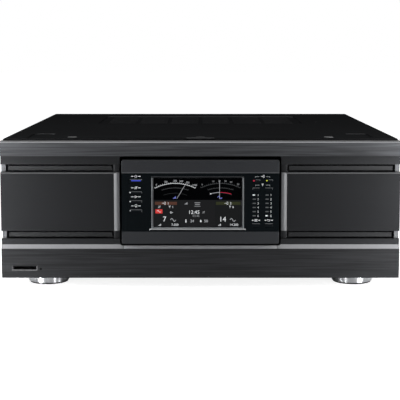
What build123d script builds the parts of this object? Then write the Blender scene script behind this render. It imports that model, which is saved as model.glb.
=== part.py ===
"""HF linear amplifier: a wide, low desk-top case with a lift-out control head in its front panel.

Millimetres. X runs to the right as the user faces the front, Y runs from front to back and Z is up.
The origin is on the desk, under the middle of the whole object.
"""

import os
from math import cos, radians, sin, tan

from build123d import *

os.makedirs("parts", exist_ok=True)

# ---------------------------------------------------------------- driving dimensions

# Case
panel_width = 425.0  # front panel, the widest piece
panel_height = 147.0
body_depth = 442.0  # brow of the front panel to the rear panel's outer face
foot_height = 12.0
foot_radius = 22.0
cover_rise = 2.0  # the top cover stands this far above the front panel
cover_inset = 1.0  # and its sides this far inside the panel's ends
sheet = 1.5  # steel sheet of the cover and the base
rear_sheet = 2.0

# Front panel, heights from its lower edge
panel_thickness = 14.0
ledge_bottom = 31.9
ledge_top = 36.1
brow_height = 15.8
recess_depth = 3.0
top_bevel = 1.7
slot_height = 8.2
plate_thickness = 2.0

# Control head
head_width = 166.8
head_proud = 6.0  # in front of the brow
head_depth = 34.0
head_bezel_depth = 12.0
head_corner = 1.7
head_wall = 2.0
glass_thickness = 2.0
screen_width = 97.7
screen_height = 56.3
key_height = 4.9
key_travel = 0.8

# Rear
socket_reach = 17.0  # the sockets stand this far out of the rear panel
socket_radius = 7.94
fan_size = 80.0
fan_thickness = 25.4
fan_blades = 7

# ---------------------------------------------------------------- derived places

overall_depth = head_proud + body_depth + socket_reach
brow_y = head_proud - overall_depth / 2
rear_y = brow_y + body_depth
base_z = foot_height
half_panel = panel_width / 2
half_cover = half_panel - cover_inset
cover_height = panel_height + cover_rise
cover_top_z = base_z + cover_height
panel_back_y = brow_y + panel_thickness
inner_rear_y = rear_y - rear_sheet
floor_z = base_z + sheet
seam = 0.2  # fitting gap between panels
hole_clearance = 0.1  # all round what passes through the rear panel
bearing_clearance = 0.05


def facing(y):
    """A sketch plane across the case at depth y: sketch x is X, sketch y is Z, and -amount extrudes backwards."""
    return Plane.XZ.offset(-y)


def keep(piece, name):
    """Labels a finished piece and writes its STEP file."""
    piece.part.label = name
    export_step(piece.part, f"parts/{name}.step")


# ---------------------------------------------------------------- front panel

brow_bottom = panel_height - brow_height
plate_bottom = ledge_top + 14.8
plate_top = brow_bottom - 17.7
slot_plate_gap = 0.4
slot_centres = (plate_top + slot_plate_gap + slot_height / 2, plate_bottom - slot_plate_gap - slot_height / 2)
bay_width = head_width + 5.0
bay_bottom = ledge_top - 1.2
bay_top = brow_bottom - 0.6
bay_height = bay_top - bay_bottom
bay_corner = 2.5
bay_middle_z = base_z + (bay_bottom + bay_top) / 2
slot_inner_x = bay_width / 2 + 7.5
slot_outer_x = half_panel - 4.7
slot_width = slot_outer_x - slot_inner_x
slot_middle_x = (slot_outer_x + slot_inner_x) / 2
slot_places = [(side * slot_middle_x, base_z + height) for side in (-1, 1) for height in slot_centres]
run_out_width = half_panel - slot_outer_x + 1.0
run_out_places = [
    (side * (slot_outer_x + run_out_width / 2), base_z + height) for side in (-1, 1) for height in slot_centres
]
run_in_width = slot_inner_x - bay_width / 2 + 1.0
run_in_places = [
    (side * (slot_inner_x - run_in_width / 2), base_z + height) for side in (-1, 1) for height in slot_centres
]
end_cap_y = brow_y + 7.6
end_cap_thickness = 2.4
end_piece_y = brow_y + 5.0
end_piece_slope = 2.0
end_piece_gap = 1.1
plate_inner_x = bay_width / 2 + 0.5
card_place = (24.5 - half_panel, base_z + 10.7)
card_slot_width = 24.6
card_slot_height = 3.0
card_funnel = 1.3
light_place = (card_place[0] + 17.2, base_z + 9.9)
light_radius = 1.25
through = panel_thickness + 2

with BuildPart() as front_panel:
    with BuildSketch(Plane.YZ) as panel_section:
        with BuildLine():
            Polyline(
                (brow_y + 0.8, base_z),
                (brow_y, base_z + 0.8),
                (brow_y, base_z + ledge_bottom),
                (brow_y + recess_depth, base_z + ledge_top),
                (brow_y + recess_depth, base_z + brow_bottom),
                (brow_y, base_z + brow_bottom),
                (brow_y, base_z + panel_height - top_bevel),
                (brow_y + top_bevel, base_z + panel_height),
                (panel_back_y, base_z + panel_height),
                (panel_back_y, base_z),
                close=True,
            )
        make_face()
    extrude(amount=half_panel, both=True)
    with BuildSketch(facing(brow_y - 1)) as panel_openings:
        with Locations((0, bay_middle_z)):
            RectangleRounded(bay_width, bay_height, bay_corner)
        with Locations(*slot_places):
            Rectangle(slot_width, slot_height)
        with Locations(card_place):
            Rectangle(card_slot_width, card_slot_height)
        with Locations(light_place):
            Circle(light_radius)
    extrude(amount=-through, mode=Mode.SUBTRACT)
    with BuildSketch(facing(brow_y - 1)) as slot_run_outs:
        with Locations(*run_out_places):
            Rectangle(run_out_width, slot_height)
        with Locations(*run_in_places):
            Rectangle(run_in_width, slot_height)
    extrude(amount=-1 - (end_cap_y + end_cap_thickness - brow_y), mode=Mode.SUBTRACT)
    with BuildSketch(facing(brow_y)) as card_funnel_mouth:
        with Locations(card_place):
            Rectangle(card_slot_width + 2 * card_funnel, card_slot_height + 2 * card_funnel)
    extrude(amount=-card_funnel, taper=45, mode=Mode.SUBTRACT)
keep(front_panel, "front_panel")

# Bright pieces that close the air slots at the panel's ends and beside the head
with BuildPart() as slot_end_caps:
    for height in slot_centres:
        with BuildSketch(Plane.XY.offset(base_z + height - slot_height / 2)) as cap_plan:
            for side in (-1, 1):
                with BuildLine():
                    Polyline(
                        (side * slot_outer_x, end_cap_y),
                        (side * (half_panel - 1.2), end_cap_y),
                        (side * half_panel, end_cap_y + 1.2),
                        (side * half_panel, end_cap_y + end_cap_thickness),
                        (side * slot_outer_x, end_cap_y + end_cap_thickness),
                        close=True,
                    )
                make_face()
                with BuildLine():
                    Polyline(
                        (side * plate_inner_x, end_piece_y + end_piece_slope),
                        (side * (slot_inner_x - end_piece_gap), end_piece_y),
                        (side * (slot_inner_x - end_piece_gap), end_cap_y + end_cap_thickness),
                        (side * plate_inner_x, end_cap_y + end_cap_thickness),
                        close=True,
                    )
                make_face()
        extrude(amount=slot_height)
keep(slot_end_caps, "slot_end_caps")

# Flat plates between the air slots, with a bright bevel towards the head
plate_bevel = 5.5
plate_top_bevel = 1.2
plate_front_y = brow_y + recess_depth - plate_thickness

with BuildPart() as front_plates:
    with BuildSketch(Plane.XY.offset(base_z + plate_bottom)) as plate_plan:
        for side in (-1, 1):
            with BuildLine():
                Polyline(
                    (side * half_panel, plate_front_y),
                    (side * (plate_inner_x + plate_bevel), plate_front_y),
                    (side * plate_inner_x, plate_front_y + plate_thickness),
                    (side * half_panel, plate_front_y + plate_thickness),
                    close=True,
                )
            make_face()
    extrude(amount=plate_top - plate_bottom)
    upper_edges = front_plates.edges().filter_by(Axis.X).group_by(Axis.Z)[-1]
    chamfer(upper_edges.group_by(Axis.Y)[0], plate_top_bevel)
keep(front_plates, "front_plates")

# ---------------------------------------------------------------- air grilles behind the slots

grille_sheet = 2.0
grille_bar_height = 4.7
grille_bar_drop = 0.4  # the bars sit this far below the slots' middles
grille_bar_y = brow_y + 8.0
grille_bar_inner_gap = 1.1
grille_bar_outer_gap = 2.7
grille_inner_x = slot_inner_x - 5.0
grille_outer_x = slot_outer_x + 0.9
grille_height = slot_centres[0] - slot_centres[1] + 20
grille_bar_width = slot_width - grille_bar_inner_gap - grille_bar_outer_gap
grille_bar_x = slot_inner_x + grille_bar_inner_gap + grille_bar_width / 2

with BuildPart() as air_grilles:
    with BuildSketch(facing(panel_back_y)) as grille_plates:
        for side in (-1, 1):
            with Locations((side * (grille_inner_x + grille_outer_x) / 2, base_z + sum(slot_centres) / 2)):
                Rectangle(grille_outer_x - grille_inner_x, grille_height)
        with Locations(*slot_places):
            Rectangle(grille_bar_width - 8, slot_height, mode=Mode.SUBTRACT)
    extrude(amount=-grille_sheet)
    with BuildSketch(facing(grille_bar_y)) as grille_bars:
        for side in (-1, 1):
            for height in slot_centres:
                with Locations((side * grille_bar_x, base_z + height - grille_bar_drop)):
                    Rectangle(grille_bar_width, grille_bar_height)
    extrude(amount=-(panel_back_y + grille_sheet - grille_bar_y))
keep(air_grilles, "air_grilles")

# ---------------------------------------------------------------- subframe with the head's bay

subframe_y = panel_back_y + grille_sheet
subframe_edge = 2.5
bay_back_y = panel_back_y + 28.0
head_y = brow_y - head_proud
head_back_y = head_y + head_depth
head_height = bay_height - 6.5
head_z = base_z + bay_bottom + 3.2
head_middle_z = head_z + head_height / 2
case_set_in = 1.6  # the head's rear case is this much smaller all round than its bezel
half_case = head_width / 2 - case_set_in
rail_gap = 0.3
rail_width = 6.0
rail_height = head_z + case_set_in - (base_z + bay_bottom) - rail_gap
side_rail = bay_width / 2 - half_case - rail_gap
rail_length = bay_back_y - panel_back_y
card_socket_width = 29.0
card_socket_height = 6.0
card_socket_depth = 32.0
lever_width = 30.0  # the head's release, pressed down through the cover
lever_gap = 0.3
lever_height = 5.0
lever_rise = 0.6
lever_travel = 2.0
lever_rim = 0.9  # round three sides of its top
lever_pocket = 0.5
lever_bottom_z = cover_top_z + lever_rise - lever_height
subframe_top_z = base_z + panel_height - subframe_edge
lever_notch = subframe_top_z - lever_bottom_z + lever_travel + lever_gap

with BuildPart() as front_subframe:
    with BuildSketch(facing(subframe_y)) as subframe_plate:
        with Locations((0, base_z + panel_height / 2)):
            Rectangle(2 * (half_cover - subframe_edge), panel_height - 2 * subframe_edge)
        with Locations((0, subframe_top_z - lever_notch / 2)):
            Rectangle(lever_width + 2 * lever_gap, lever_notch, mode=Mode.SUBTRACT)
        with Locations(*slot_places):
            Rectangle(slot_width - 10, slot_height + 6, mode=Mode.SUBTRACT)
        with Locations(card_place):
            Rectangle(card_socket_width + 1, card_socket_height + 1, mode=Mode.SUBTRACT)
    extrude(amount=-sheet)
    with BuildSketch(facing(panel_back_y)) as bay_outside:
        with Locations((0, bay_middle_z)):
            RectangleRounded(bay_width + 2 * sheet, bay_height + 2 * sheet, bay_corner + sheet)
    extrude(amount=-rail_length - sheet)
    with BuildSketch(facing(panel_back_y)) as bay_inside:
        with Locations((0, bay_middle_z)):
            RectangleRounded(bay_width, bay_height, bay_corner)
    extrude(amount=-rail_length, mode=Mode.SUBTRACT)
    with BuildSketch(facing(panel_back_y)) as bay_rails:
        for x in (-60, 60):
            with Locations((x, base_z + bay_bottom + rail_height / 2)):
                Rectangle(rail_width, rail_height)
        for side in (-1, 1):
            with Locations((side * (bay_width - side_rail) / 2, bay_middle_z)):
                Rectangle(side_rail, rail_width)
    extrude(amount=-rail_length)
    with BuildSketch(facing(bay_back_y)) as lead_holes:
        with Locations((-60, bay_middle_z), (60, bay_middle_z)):
            SlotOverall(30, 12)
    extrude(amount=-sheet, mode=Mode.SUBTRACT)
keep(front_subframe, "front_subframe")

# Docking connector: a plug on the head's back and a socket on the bay's back wall
plug_shell_width = 30.0
plug_shell_height = 9.0
plug_shell_length = 6.0
plug_flange_width = 44.0
plug_flange_height = 15.0
plug_flange = 2.0
plug_clearance = 0.3
socket_face_y = head_back_y + plug_flange + plug_clearance

with BuildPart() as bay_socket:
    with BuildSketch(facing(socket_face_y)) as socket_block:
        with Locations((0, head_middle_z)):
            Rectangle(plug_flange_width, plug_flange_height)
    extrude(amount=-(bay_back_y - socket_face_y))
    with BuildSketch(facing(socket_face_y)) as socket_hole:
        with Locations((0, head_middle_z)):
            Rectangle(plug_shell_width + 2 * plug_clearance, plug_shell_height + 2 * plug_clearance)
    extrude(amount=-plug_shell_length - 1, mode=Mode.SUBTRACT)
keep(bay_socket, "bay_socket")

with BuildPart() as head_plug:
    with BuildSketch(facing(head_back_y)) as plug_flange_outline:
        with Locations((0, head_middle_z)):
            Rectangle(plug_flange_width, plug_flange_height)
    extrude(amount=-plug_flange)
    with BuildSketch(facing(head_back_y + plug_flange)) as plug_shell:
        with Locations((0, head_middle_z)):
            Rectangle(plug_shell_width, plug_shell_height)
    extrude(amount=-plug_shell_length)
keep(head_plug, "head_plug")

# Memory card socket and the light beside it
with BuildPart() as card_socket:
    with BuildSketch(facing(panel_back_y)) as card_body:
        with Locations(card_place):
            Rectangle(card_socket_width, card_socket_height)
    extrude(amount=-card_socket_depth)
    with BuildSketch(facing(panel_back_y)) as card_space:
        with Locations(card_place):
            Rectangle(card_slot_width, card_slot_height - 0.4)
    extrude(amount=-card_socket_depth + 4, mode=Mode.SUBTRACT)
keep(card_socket, "card_socket")

with BuildPart() as card_light:
    with BuildSketch(facing(brow_y)) as lens:
        with Locations(light_place):
            Circle(light_radius)
    extrude(amount=-panel_thickness)
keep(card_light, "card_light")

# ---------------------------------------------------------------- control head

glass_set_back = 0.6
glass_bottom = 13.1  # heights on the head are from its lower edge
glass_top = head_height - 13.6
glass_height = glass_top - glass_bottom
glass_edge = 0.3
glass_z = head_z + (glass_bottom + glass_top) / 2
glass_y = head_y + glass_set_back
glass_back_y = glass_y + glass_thickness
front_wall = glass_set_back + glass_thickness + 1.5
screen_place = (-2.9, head_z + 15.7 + screen_height / 2)
head_board_y = head_y + 9.0
board_thickness = 1.6
post_radius = 2.5
post_inset = 6.5
post_spacing = (head_width - 2 * post_inset, head_height - 2 * post_inset)

with BuildPart() as head_bezel:
    with BuildSketch(facing(head_y)) as bezel_outline:
        with Locations((0, head_middle_z)):
            RectangleRounded(head_width, head_height, head_corner)
    extrude(amount=-head_bezel_depth)
    fillet(head_bezel.faces().sort_by(Axis.Y)[0].edges(), 0.7)
    with BuildSketch(facing(head_y + front_wall)) as bezel_hollow:
        with Locations((0, head_middle_z)):
            RectangleRounded(head_width - 2 * head_wall, head_height - 2 * head_wall, head_corner - 1)
    extrude(amount=-head_bezel_depth, mode=Mode.SUBTRACT)
    with BuildSketch(facing(head_y - 1)) as glass_seat:
        with Locations((0, glass_z)):
            Rectangle(head_width + 2, glass_height)
    extrude(amount=-1 - glass_set_back - glass_thickness, mode=Mode.SUBTRACT)
    with BuildSketch(facing(head_y)) as glass_ledge_opening:
        with Locations((0, glass_z)):
            Rectangle(head_width - 2 * head_wall, glass_height - 2 * head_wall)
    extrude(amount=-front_wall, mode=Mode.SUBTRACT)
    with BuildSketch(facing(head_y + front_wall)) as bezel_posts:
        with Locations((0, head_middle_z)):
            with GridLocations(*post_spacing, 2, 2):
                Circle(post_radius)
    extrude(amount=-(head_board_y - head_y - front_wall))
keep(head_bezel, "head_bezel")

# Keys: name, middle x, top edge above the head's lower edge, width
left_key_x = 14.8 - head_width / 2
right_key_x = (head_width / 2 - 24.5, head_width / 2 - 10.9)
left_key_width = 14.3
right_key_width = 8.8
key_table = [
    ("power_key", left_key_x, 69.6, left_key_width),
    ("tuner_key", left_key_x, 57.4, left_key_width),
    ("amplifier_key", left_key_x, 47.8, left_key_width),
    ("protection_key", left_key_x, 38.0, left_key_width),
    ("input_key_1", right_key_x[0], 70.0, right_key_width),
    ("input_key_2", right_key_x[1], 70.0, right_key_width),
    ("antenna_key_1", right_key_x[0], 60.5, right_key_width),
    ("antenna_key_2", right_key_x[1], 60.5, right_key_width),
    ("menu_key", right_key_x[0], 22.3, right_key_width),
    ("back_key", right_key_x[1], 22.3, right_key_width),
]
lamp_width = 3.3
lamp_height = 1.25
lamp_rows = 6
lamp_pitch = 4.43
lamp_top_z = head_z + 52.3
lamp_places = [(x - 1.9, lamp_top_z - row * lamp_pitch) for x in right_key_x for row in range(lamp_rows)]

with BuildPart() as head_window:
    with BuildSketch(facing(glass_y)) as glass_outline:
        with Locations((0, glass_z)):
            Rectangle(head_width, glass_height)
        with Locations(screen_place):
            Rectangle(screen_width, screen_height, mode=Mode.SUBTRACT)
        for _, x, top, width in key_table:
            with Locations((x, head_z + top - key_height / 2)):
                Rectangle(width, key_height, mode=Mode.SUBTRACT)
        with Locations(*lamp_places):
            Rectangle(lamp_width, lamp_height, mode=Mode.SUBTRACT)
    extrude(amount=-glass_thickness)
    glass_edges = head_window.edges().filter_by(Axis.Z).group_by(Axis.Y)[0].sort_by(Axis.X)
    chamfer([glass_edges[0], glass_edges[-1]], glass_edge)
keep(head_window, "head_window")

screen_frame_y = glass_y - 0.3
screen_frame_depth = 2.6
screen_lip = 0.4
screen_slope = 28.0  # degrees from the lip down to the screen
display_thickness = 4.0

with BuildPart() as screen_frame:
    with BuildSketch(facing(screen_frame_y)) as frame_outline:
        with Locations(screen_place):
            Rectangle(screen_width, screen_height)
    extrude(amount=-screen_frame_depth)
    with BuildSketch(facing(screen_frame_y)) as frame_mouth:
        with Locations(screen_place):
            Rectangle(screen_width - 2 * screen_lip, screen_height - 2 * screen_lip)
    extrude(amount=-screen_frame_depth, taper=screen_slope, mode=Mode.SUBTRACT)
keep(screen_frame, "screen_frame")

with BuildPart() as display_module:
    with BuildSketch(facing(screen_frame_y + screen_frame_depth)) as display_outline:
        with Locations(screen_place):
            Rectangle(screen_width + 6, screen_height + 0.8)
    extrude(amount=-display_thickness)
keep(display_module, "display_module")

key_clearance = 0.25
key_flange = 1.0
key_front_y = glass_y - 0.3
key_flange_y = glass_back_y + 0.1
key_stem = 3.0
key_stem_end_y = head_y + 6.2
switch_size = 4.5
switch_y = key_stem_end_y + key_travel + 0.05


def key(x, top, width):
    """One key cap, with the flange that keeps it behind the glass and the stem that works its switch."""
    z = head_z + top - key_height / 2
    with BuildPart() as cap:
        with BuildSketch(facing(key_front_y)) as cap_face:
            with Locations((x, z)):
                Rectangle(width - 2 * key_clearance, key_height - 2 * key_clearance)
        extrude(amount=-(key_flange_y - key_front_y))
        chamfer(cap.faces().sort_by(Axis.Y)[0].edges(), 0.25)
        with BuildSketch(facing(key_flange_y)) as cap_flange:
            with Locations((x, z)):
                Rectangle(width + 1.2, key_height + 1.2)
        extrude(amount=-key_flange)
        with BuildSketch(facing(key_flange_y + key_flange)) as cap_stem:
            with Locations((x, z)):
                Rectangle(key_stem, key_stem)
        extrude(amount=-(key_stem_end_y - key_flange_y - key_flange))
    return cap


for key_name, key_x, key_top, key_width in key_table:
    keep(key(key_x, key_top, key_width), key_name)

with BuildPart() as indicator_lamps:
    with BuildSketch(facing(glass_y)) as lamp_faces:
        with Locations(*lamp_places):
            Rectangle(lamp_width, lamp_height)
    extrude(amount=-(head_board_y - glass_y))
keep(indicator_lamps, "indicator_lamps")

# Circuit board of the head, with a switch behind each key
with BuildPart() as head_board:
    with BuildSketch(facing(head_board_y)) as board_outline:
        with Locations((0, head_middle_z)):
            Rectangle(head_width - 2 * head_wall - 2, head_height - 2 * head_wall - 2)
    extrude(amount=-board_thickness)
    with BuildSketch(facing(switch_y)) as switch_bodies:
        for _, x, top, _ in key_table:
            with Locations((x, head_z + top - key_height / 2)):
                Rectangle(switch_size, switch_size)
    extrude(amount=-(head_board_y - switch_y))
keep(head_board, "head_board")

case_front_y = head_y + head_bezel_depth
with BuildPart() as head_case:
    with BuildSketch(facing(case_front_y)) as case_outline:
        with Locations((0, head_middle_z)):
            RectangleRounded(2 * half_case, head_height - 2 * case_set_in, head_corner)
    extrude(amount=-(head_back_y - case_front_y))
    chamfer(head_case.faces().sort_by(Axis.Y)[-1].edges(), 1.2)
    with BuildSketch(facing(case_front_y)) as case_hollow:
        with Locations((0, head_middle_z)):
            RectangleRounded(
                2 * (half_case - head_wall), head_height - 2 * (case_set_in + head_wall), head_corner - 1
            )
    extrude(amount=-(head_back_y - case_front_y - head_wall), mode=Mode.SUBTRACT)
    with BuildSketch(facing(head_board_y + board_thickness)) as case_posts:
        with Locations((0, head_middle_z)):
            with GridLocations(*post_spacing, 2, 2):
                Circle(post_radius)
    extrude(amount=-(head_back_y - head_wall - head_board_y - board_thickness))
    with BuildSketch(facing(head_back_y)) as case_vents:
        with Locations((0, head_middle_z + 26)):
            with GridLocations(10, 0, 7, 1):
                Rectangle(3, 18)
    extrude(amount=head_wall, mode=Mode.SUBTRACT)
keep(head_case, "head_case")

# ---------------------------------------------------------------- base tray and feet

base_y = panel_back_y + seam
base_flange = 14.0
flange_front_y = subframe_y + sheet + 0.5
half_tray = half_cover - sheet
foot_x = half_panel - 44.5
foot_set_back = 45.0
foot_places = [(x, y) for x in (-foot_x, foot_x) for y in (brow_y + foot_set_back, rear_y - foot_set_back)]
foot_screw_radius = 2.0
foot_hole_radius = foot_screw_radius + 0.25
vent_pitch = 12.0

with BuildPart() as base_tray:
    with BuildSketch(Plane.XY.offset(base_z)) as tray_floor:
        with Locations((0, (base_y + inner_rear_y) / 2)):
            Rectangle(2 * half_tray, inner_rear_y - base_y)
        with Locations(*foot_places):
            Circle(foot_hole_radius, mode=Mode.SUBTRACT)
        with Locations((0.24 * panel_width, 0)):
            with GridLocations(vent_pitch, 0, 10, 1):
                Rectangle(4, 0.2 * body_depth, mode=Mode.SUBTRACT)
    extrude(amount=sheet)
    with BuildSketch(Plane.XY.offset(floor_z)) as tray_flanges:
        for side in (-1, 1):
            with Locations((side * (half_tray - sheet / 2), (flange_front_y + inner_rear_y) / 2)):
                Rectangle(sheet, inner_rear_y - flange_front_y)
    extrude(amount=base_flange)
keep(base_tray, "base_tray")

pad_radius = 20.8
pad_hole_radius = 6.0
pad_height = 3.0
shell_bottom = 1.0
shell_edge = 0.6
foot_floor_z = pad_height + 3.5

with BuildPart() as foot_shells:
    for x, y in foot_places:
        with BuildSketch(Plane.XZ.offset(-y)) as foot_section:
            with BuildLine():
                Polyline(
                    (x + foot_hole_radius, base_z),
                    (x + foot_radius - shell_edge, base_z),
                    (x + foot_radius, base_z - shell_edge),
                    (x + foot_radius, shell_bottom + shell_edge),
                    (x + foot_radius - shell_edge, shell_bottom),
                    (x + pad_radius, shell_bottom),
                    (x + pad_radius, pad_height),
                    (x + pad_hole_radius, pad_height),
                    (x + pad_hole_radius, foot_floor_z),
                    (x + foot_hole_radius, foot_floor_z),
                    close=True,
                )
            make_face()
        revolve(axis=Axis((x, y, 0), (0, 0, 1)))
keep(foot_shells, "foot_shells")

with BuildPart() as foot_pads:
    with BuildSketch(Plane.XY) as pad_rings:
        with Locations(*foot_places):
            Circle(pad_radius)
            Circle(pad_hole_radius, mode=Mode.SUBTRACT)
    extrude(amount=pad_height)
keep(foot_pads, "foot_pads")

with BuildPart() as foot_screws:
    with BuildSketch(Plane.XY.offset(pad_height)) as screw_heads:
        with Locations(*foot_places):
            Circle(4.5)
    extrude(amount=foot_floor_z - pad_height)
    with BuildSketch(Plane.XY.offset(foot_floor_z)) as screw_shanks:
        with Locations(*foot_places):
            Circle(foot_screw_radius)
    extrude(amount=floor_z + 3 - foot_floor_z)
keep(foot_screws, "foot_screws")

# ---------------------------------------------------------------- cover, its screws and the head's release

cover_y = panel_back_y + seam
cover_bend = 2.2
lever_length = 5.5
lever_y = panel_back_y + 1.2
dimple_width = 24.0  # shallow pressings in the cover's front corners
dimple_length = 57.0
dimple_depth = 1.0
dimple_places = [(side * (half_cover - 36.5), brow_y + 50.5) for side in (-1, 1)]
field_width = 1.23 * half_cover  # pressed-down field of air slots
field_length = 0.34 * body_depth
field_depth = 1.2
field_y = brow_y + 0.7 * body_depth
field_columns = 6
field_rows = 10
field_slot = (field_width - 16) / field_columns - 5
side_vents = 9
side_vent_height = 66.0
side_vent_places = [(brow_y + share * body_depth, base_z + 75) for share in (0.24, 0.76)]

with BuildPart() as top_cover:
    with BuildSketch(facing(cover_y)) as cover_section:
        with Locations((0, base_z + cover_height / 2)):
            Rectangle(2 * half_cover, cover_height)
        fillet(cover_section.vertices().group_by(Axis.Y)[-1], cover_bend)
        with Locations((0, base_z + (cover_height - sheet) / 2)):
            Rectangle(2 * half_tray, cover_height - sheet, mode=Mode.SUBTRACT)
    extrude(amount=-(rear_y - cover_y))
    with BuildSketch(Plane.XY.offset(cover_top_z - sheet)) as dimple_undersides:
        with Locations(*dimple_places):
            Rectangle(dimple_width + 2 * sheet, dimple_length + 2 * sheet)
    extrude(amount=-dimple_depth)
    with BuildSketch(Plane.XY.offset(cover_top_z - sheet)) as field_underside:
        with Locations((0, field_y)):
            Rectangle(field_width + 2 * sheet, field_length + 2 * sheet)
    extrude(amount=-field_depth)
    with BuildSketch(Plane.XY.offset(cover_top_z)) as dimples:
        with Locations(*dimple_places):
            RectangleRounded(dimple_width, dimple_length, 2)
    extrude(amount=-dimple_depth, taper=20, mode=Mode.SUBTRACT)
    with BuildSketch(Plane.XY.offset(cover_top_z)) as field:
        with Locations((0, field_y)):
            RectangleRounded(field_width, field_length, 4)
    extrude(amount=-field_depth, taper=20, mode=Mode.SUBTRACT)
    with BuildSketch(Plane.XY.offset(cover_top_z)) as cover_openings:
        with Locations((0, cover_y + (lever_y + lever_length + lever_gap - cover_y) / 2)):
            Rectangle(lever_width + 2 * lever_gap, lever_y + lever_length + lever_gap - cover_y)
        with Locations((0, field_y)):
            with GridLocations(field_slot + 5, (field_length - 16) / field_rows, field_columns, field_rows):
                Rectangle(field_slot, 4)
    extrude(amount=-field_depth - sheet, mode=Mode.SUBTRACT)
    with BuildSketch(Plane.YZ) as side_slots:
        with Locations(*side_vent_places):
            with GridLocations(vent_pitch, 0, side_vents, 1):
                Rectangle(4, side_vent_height)
    extrude(amount=half_panel, both=True, mode=Mode.SUBTRACT)
keep(top_cover, "top_cover")

# Three large bright screws hold the cover's front edge
cover_screw_places = [(share * half_cover, brow_y + 27.5) for share in (-0.655, 0, 0.655)]
cover_screw_radius = 5.0
cover_screw_head = 0.5
cover_screw_edge = 0.25
with BuildPart() as cover_screws:
    with BuildSketch(Plane.XY.offset(cover_top_z)) as cover_screw_heads:
        with Locations(*cover_screw_places):
            Circle(cover_screw_radius)
    extrude(amount=cover_screw_head)
    chamfer(cover_screws.faces().group_by(Axis.Z)[-1].edges(), cover_screw_edge)
keep(cover_screws, "cover_screws")

# Spring-loaded catch that frees the control head
with BuildPart() as release_lever:
    with BuildSketch(Plane.XY.offset(cover_top_z + lever_rise)) as lever_top:
        with Locations((0, lever_y + lever_length / 2)):
            Rectangle(lever_width, lever_length)
    extrude(amount=-lever_height)
    chamfer(release_lever.faces().sort_by(Axis.Z)[-1].edges(), 0.4)
    with BuildSketch(Plane.XY.offset(cover_top_z + lever_rise)) as lever_recess:
        with Locations((0, lever_y - lever_rim + lever_length / 2)):
            Rectangle(lever_width - 2 * lever_rim, lever_length)
    extrude(amount=-lever_pocket, mode=Mode.SUBTRACT)
keep(release_lever, "release_lever")

# ---------------------------------------------------------------- rear panel and what it carries

antenna_x = [-share * half_cover for share in (0.88, 0.69, 0.5)]
antenna_places = [(x, base_z + z) for x in antenna_x for z in (112, 72)]
input_places = [(x, base_z + 30) for x in antenna_x[:2]]
ground_place = (antenna_x[2], base_z + 30)
round_places = [(-share * half_cover, base_z + z) for share in (0.32, 0.16) for z in (124, 101)]
lan_place = (-0.34 * half_cover, base_z + 60)
jack_places = [(-0.34 * half_cover + x, base_z + 36) for x in (-7, 9)]
fan_pitch = fan_size + 5
fan_x = half_cover - fan_size / 2 - 31
fan_places = [(fan_x - fan_pitch, base_z + fan_size / 2 + 9), (fan_x, base_z + fan_size / 2 + 9)]
inlet_place = (0.775 * half_cover, base_z + 120)
switch_place = (0.49 * half_cover, base_z + 120)

socket_wall = 2.04
insulator_radius = socket_radius - socket_wall
contact_radius = 3.0
contact_bore = 2.0
contact_depth = 11.0
socket_back_y = inner_rear_y - 4
insulator_set_back = 2.5
inlet_body = (34.0, 25.0)
inlet_hollow = (30.4, 21.6)
inlet_depth = 18.0
switch_cut = (20.0, 27.0)
round_radius = 8.0
round_flange_radius = 9.5
lan_body_size = (16.4, 13.6)
lan_mouth = (11.8, 8.2)
jack_radius = 3.9
guard_outer_radii = (37.0, 29.3, 21.6)
guard_slot = 5.2
guard_spoke = 4.5


def cut_out(body):
    """Width and height of the panel's hole for a body of this width and height."""
    return [size + 2 * hole_clearance for size in body]


with BuildPart() as rear_panel:
    with BuildSketch(facing(inner_rear_y)) as rear_outline:
        with Locations((0, base_z + (cover_height - sheet) / 2)):
            Rectangle(2 * half_tray, cover_height - sheet)
        with Locations(*antenna_places, *input_places):
            Circle(insulator_radius + hole_clearance, mode=Mode.SUBTRACT)
        with Locations(ground_place):
            Circle(contact_radius + hole_clearance, mode=Mode.SUBTRACT)
        with Locations(*round_places):
            Circle(round_radius + hole_clearance, mode=Mode.SUBTRACT)
        with Locations(lan_place):
            Rectangle(*cut_out(lan_body_size), mode=Mode.SUBTRACT)
        with Locations(*jack_places):
            Circle(jack_radius + hole_clearance, mode=Mode.SUBTRACT)
        with Locations(inlet_place):
            Rectangle(*cut_out(inlet_body), mode=Mode.SUBTRACT)
        with Locations(switch_place):
            Rectangle(*cut_out(switch_cut), mode=Mode.SUBTRACT)
    extrude(amount=-rear_sheet)
    with BuildSketch(facing(inner_rear_y)) as finger_guards:
        for radius in guard_outer_radii:
            with Locations(*fan_places):
                Circle(radius)
                Circle(radius - guard_slot, mode=Mode.SUBTRACT)
        with Locations(*fan_places):
            Rectangle(fan_size, guard_spoke, rotation=45, mode=Mode.SUBTRACT)
            Rectangle(fan_size, guard_spoke, rotation=-45, mode=Mode.SUBTRACT)
    extrude(amount=-rear_sheet, mode=Mode.SUBTRACT)
keep(rear_panel, "rear_panel")

# Coaxial sockets: square flanges on the rear panel, with barrels for screw-on plugs
flange_size = 25.4
flange_thickness = 2.0
socket_places = antenna_places + input_places
with BuildPart() as coaxial_sockets:
    with BuildSketch(facing(rear_y)) as socket_flanges:
        with Locations(*socket_places):
            Rectangle(flange_size, flange_size)
            Circle(insulator_radius, mode=Mode.SUBTRACT)
    extrude(amount=-flange_thickness)
    with BuildSketch(facing(rear_y + flange_thickness)) as socket_barrels:
        with Locations(*socket_places):
            Circle(socket_radius)
            Circle(insulator_radius, mode=Mode.SUBTRACT)
    extrude(amount=-(socket_reach - flange_thickness))
keep(coaxial_sockets, "coaxial_sockets")

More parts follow.
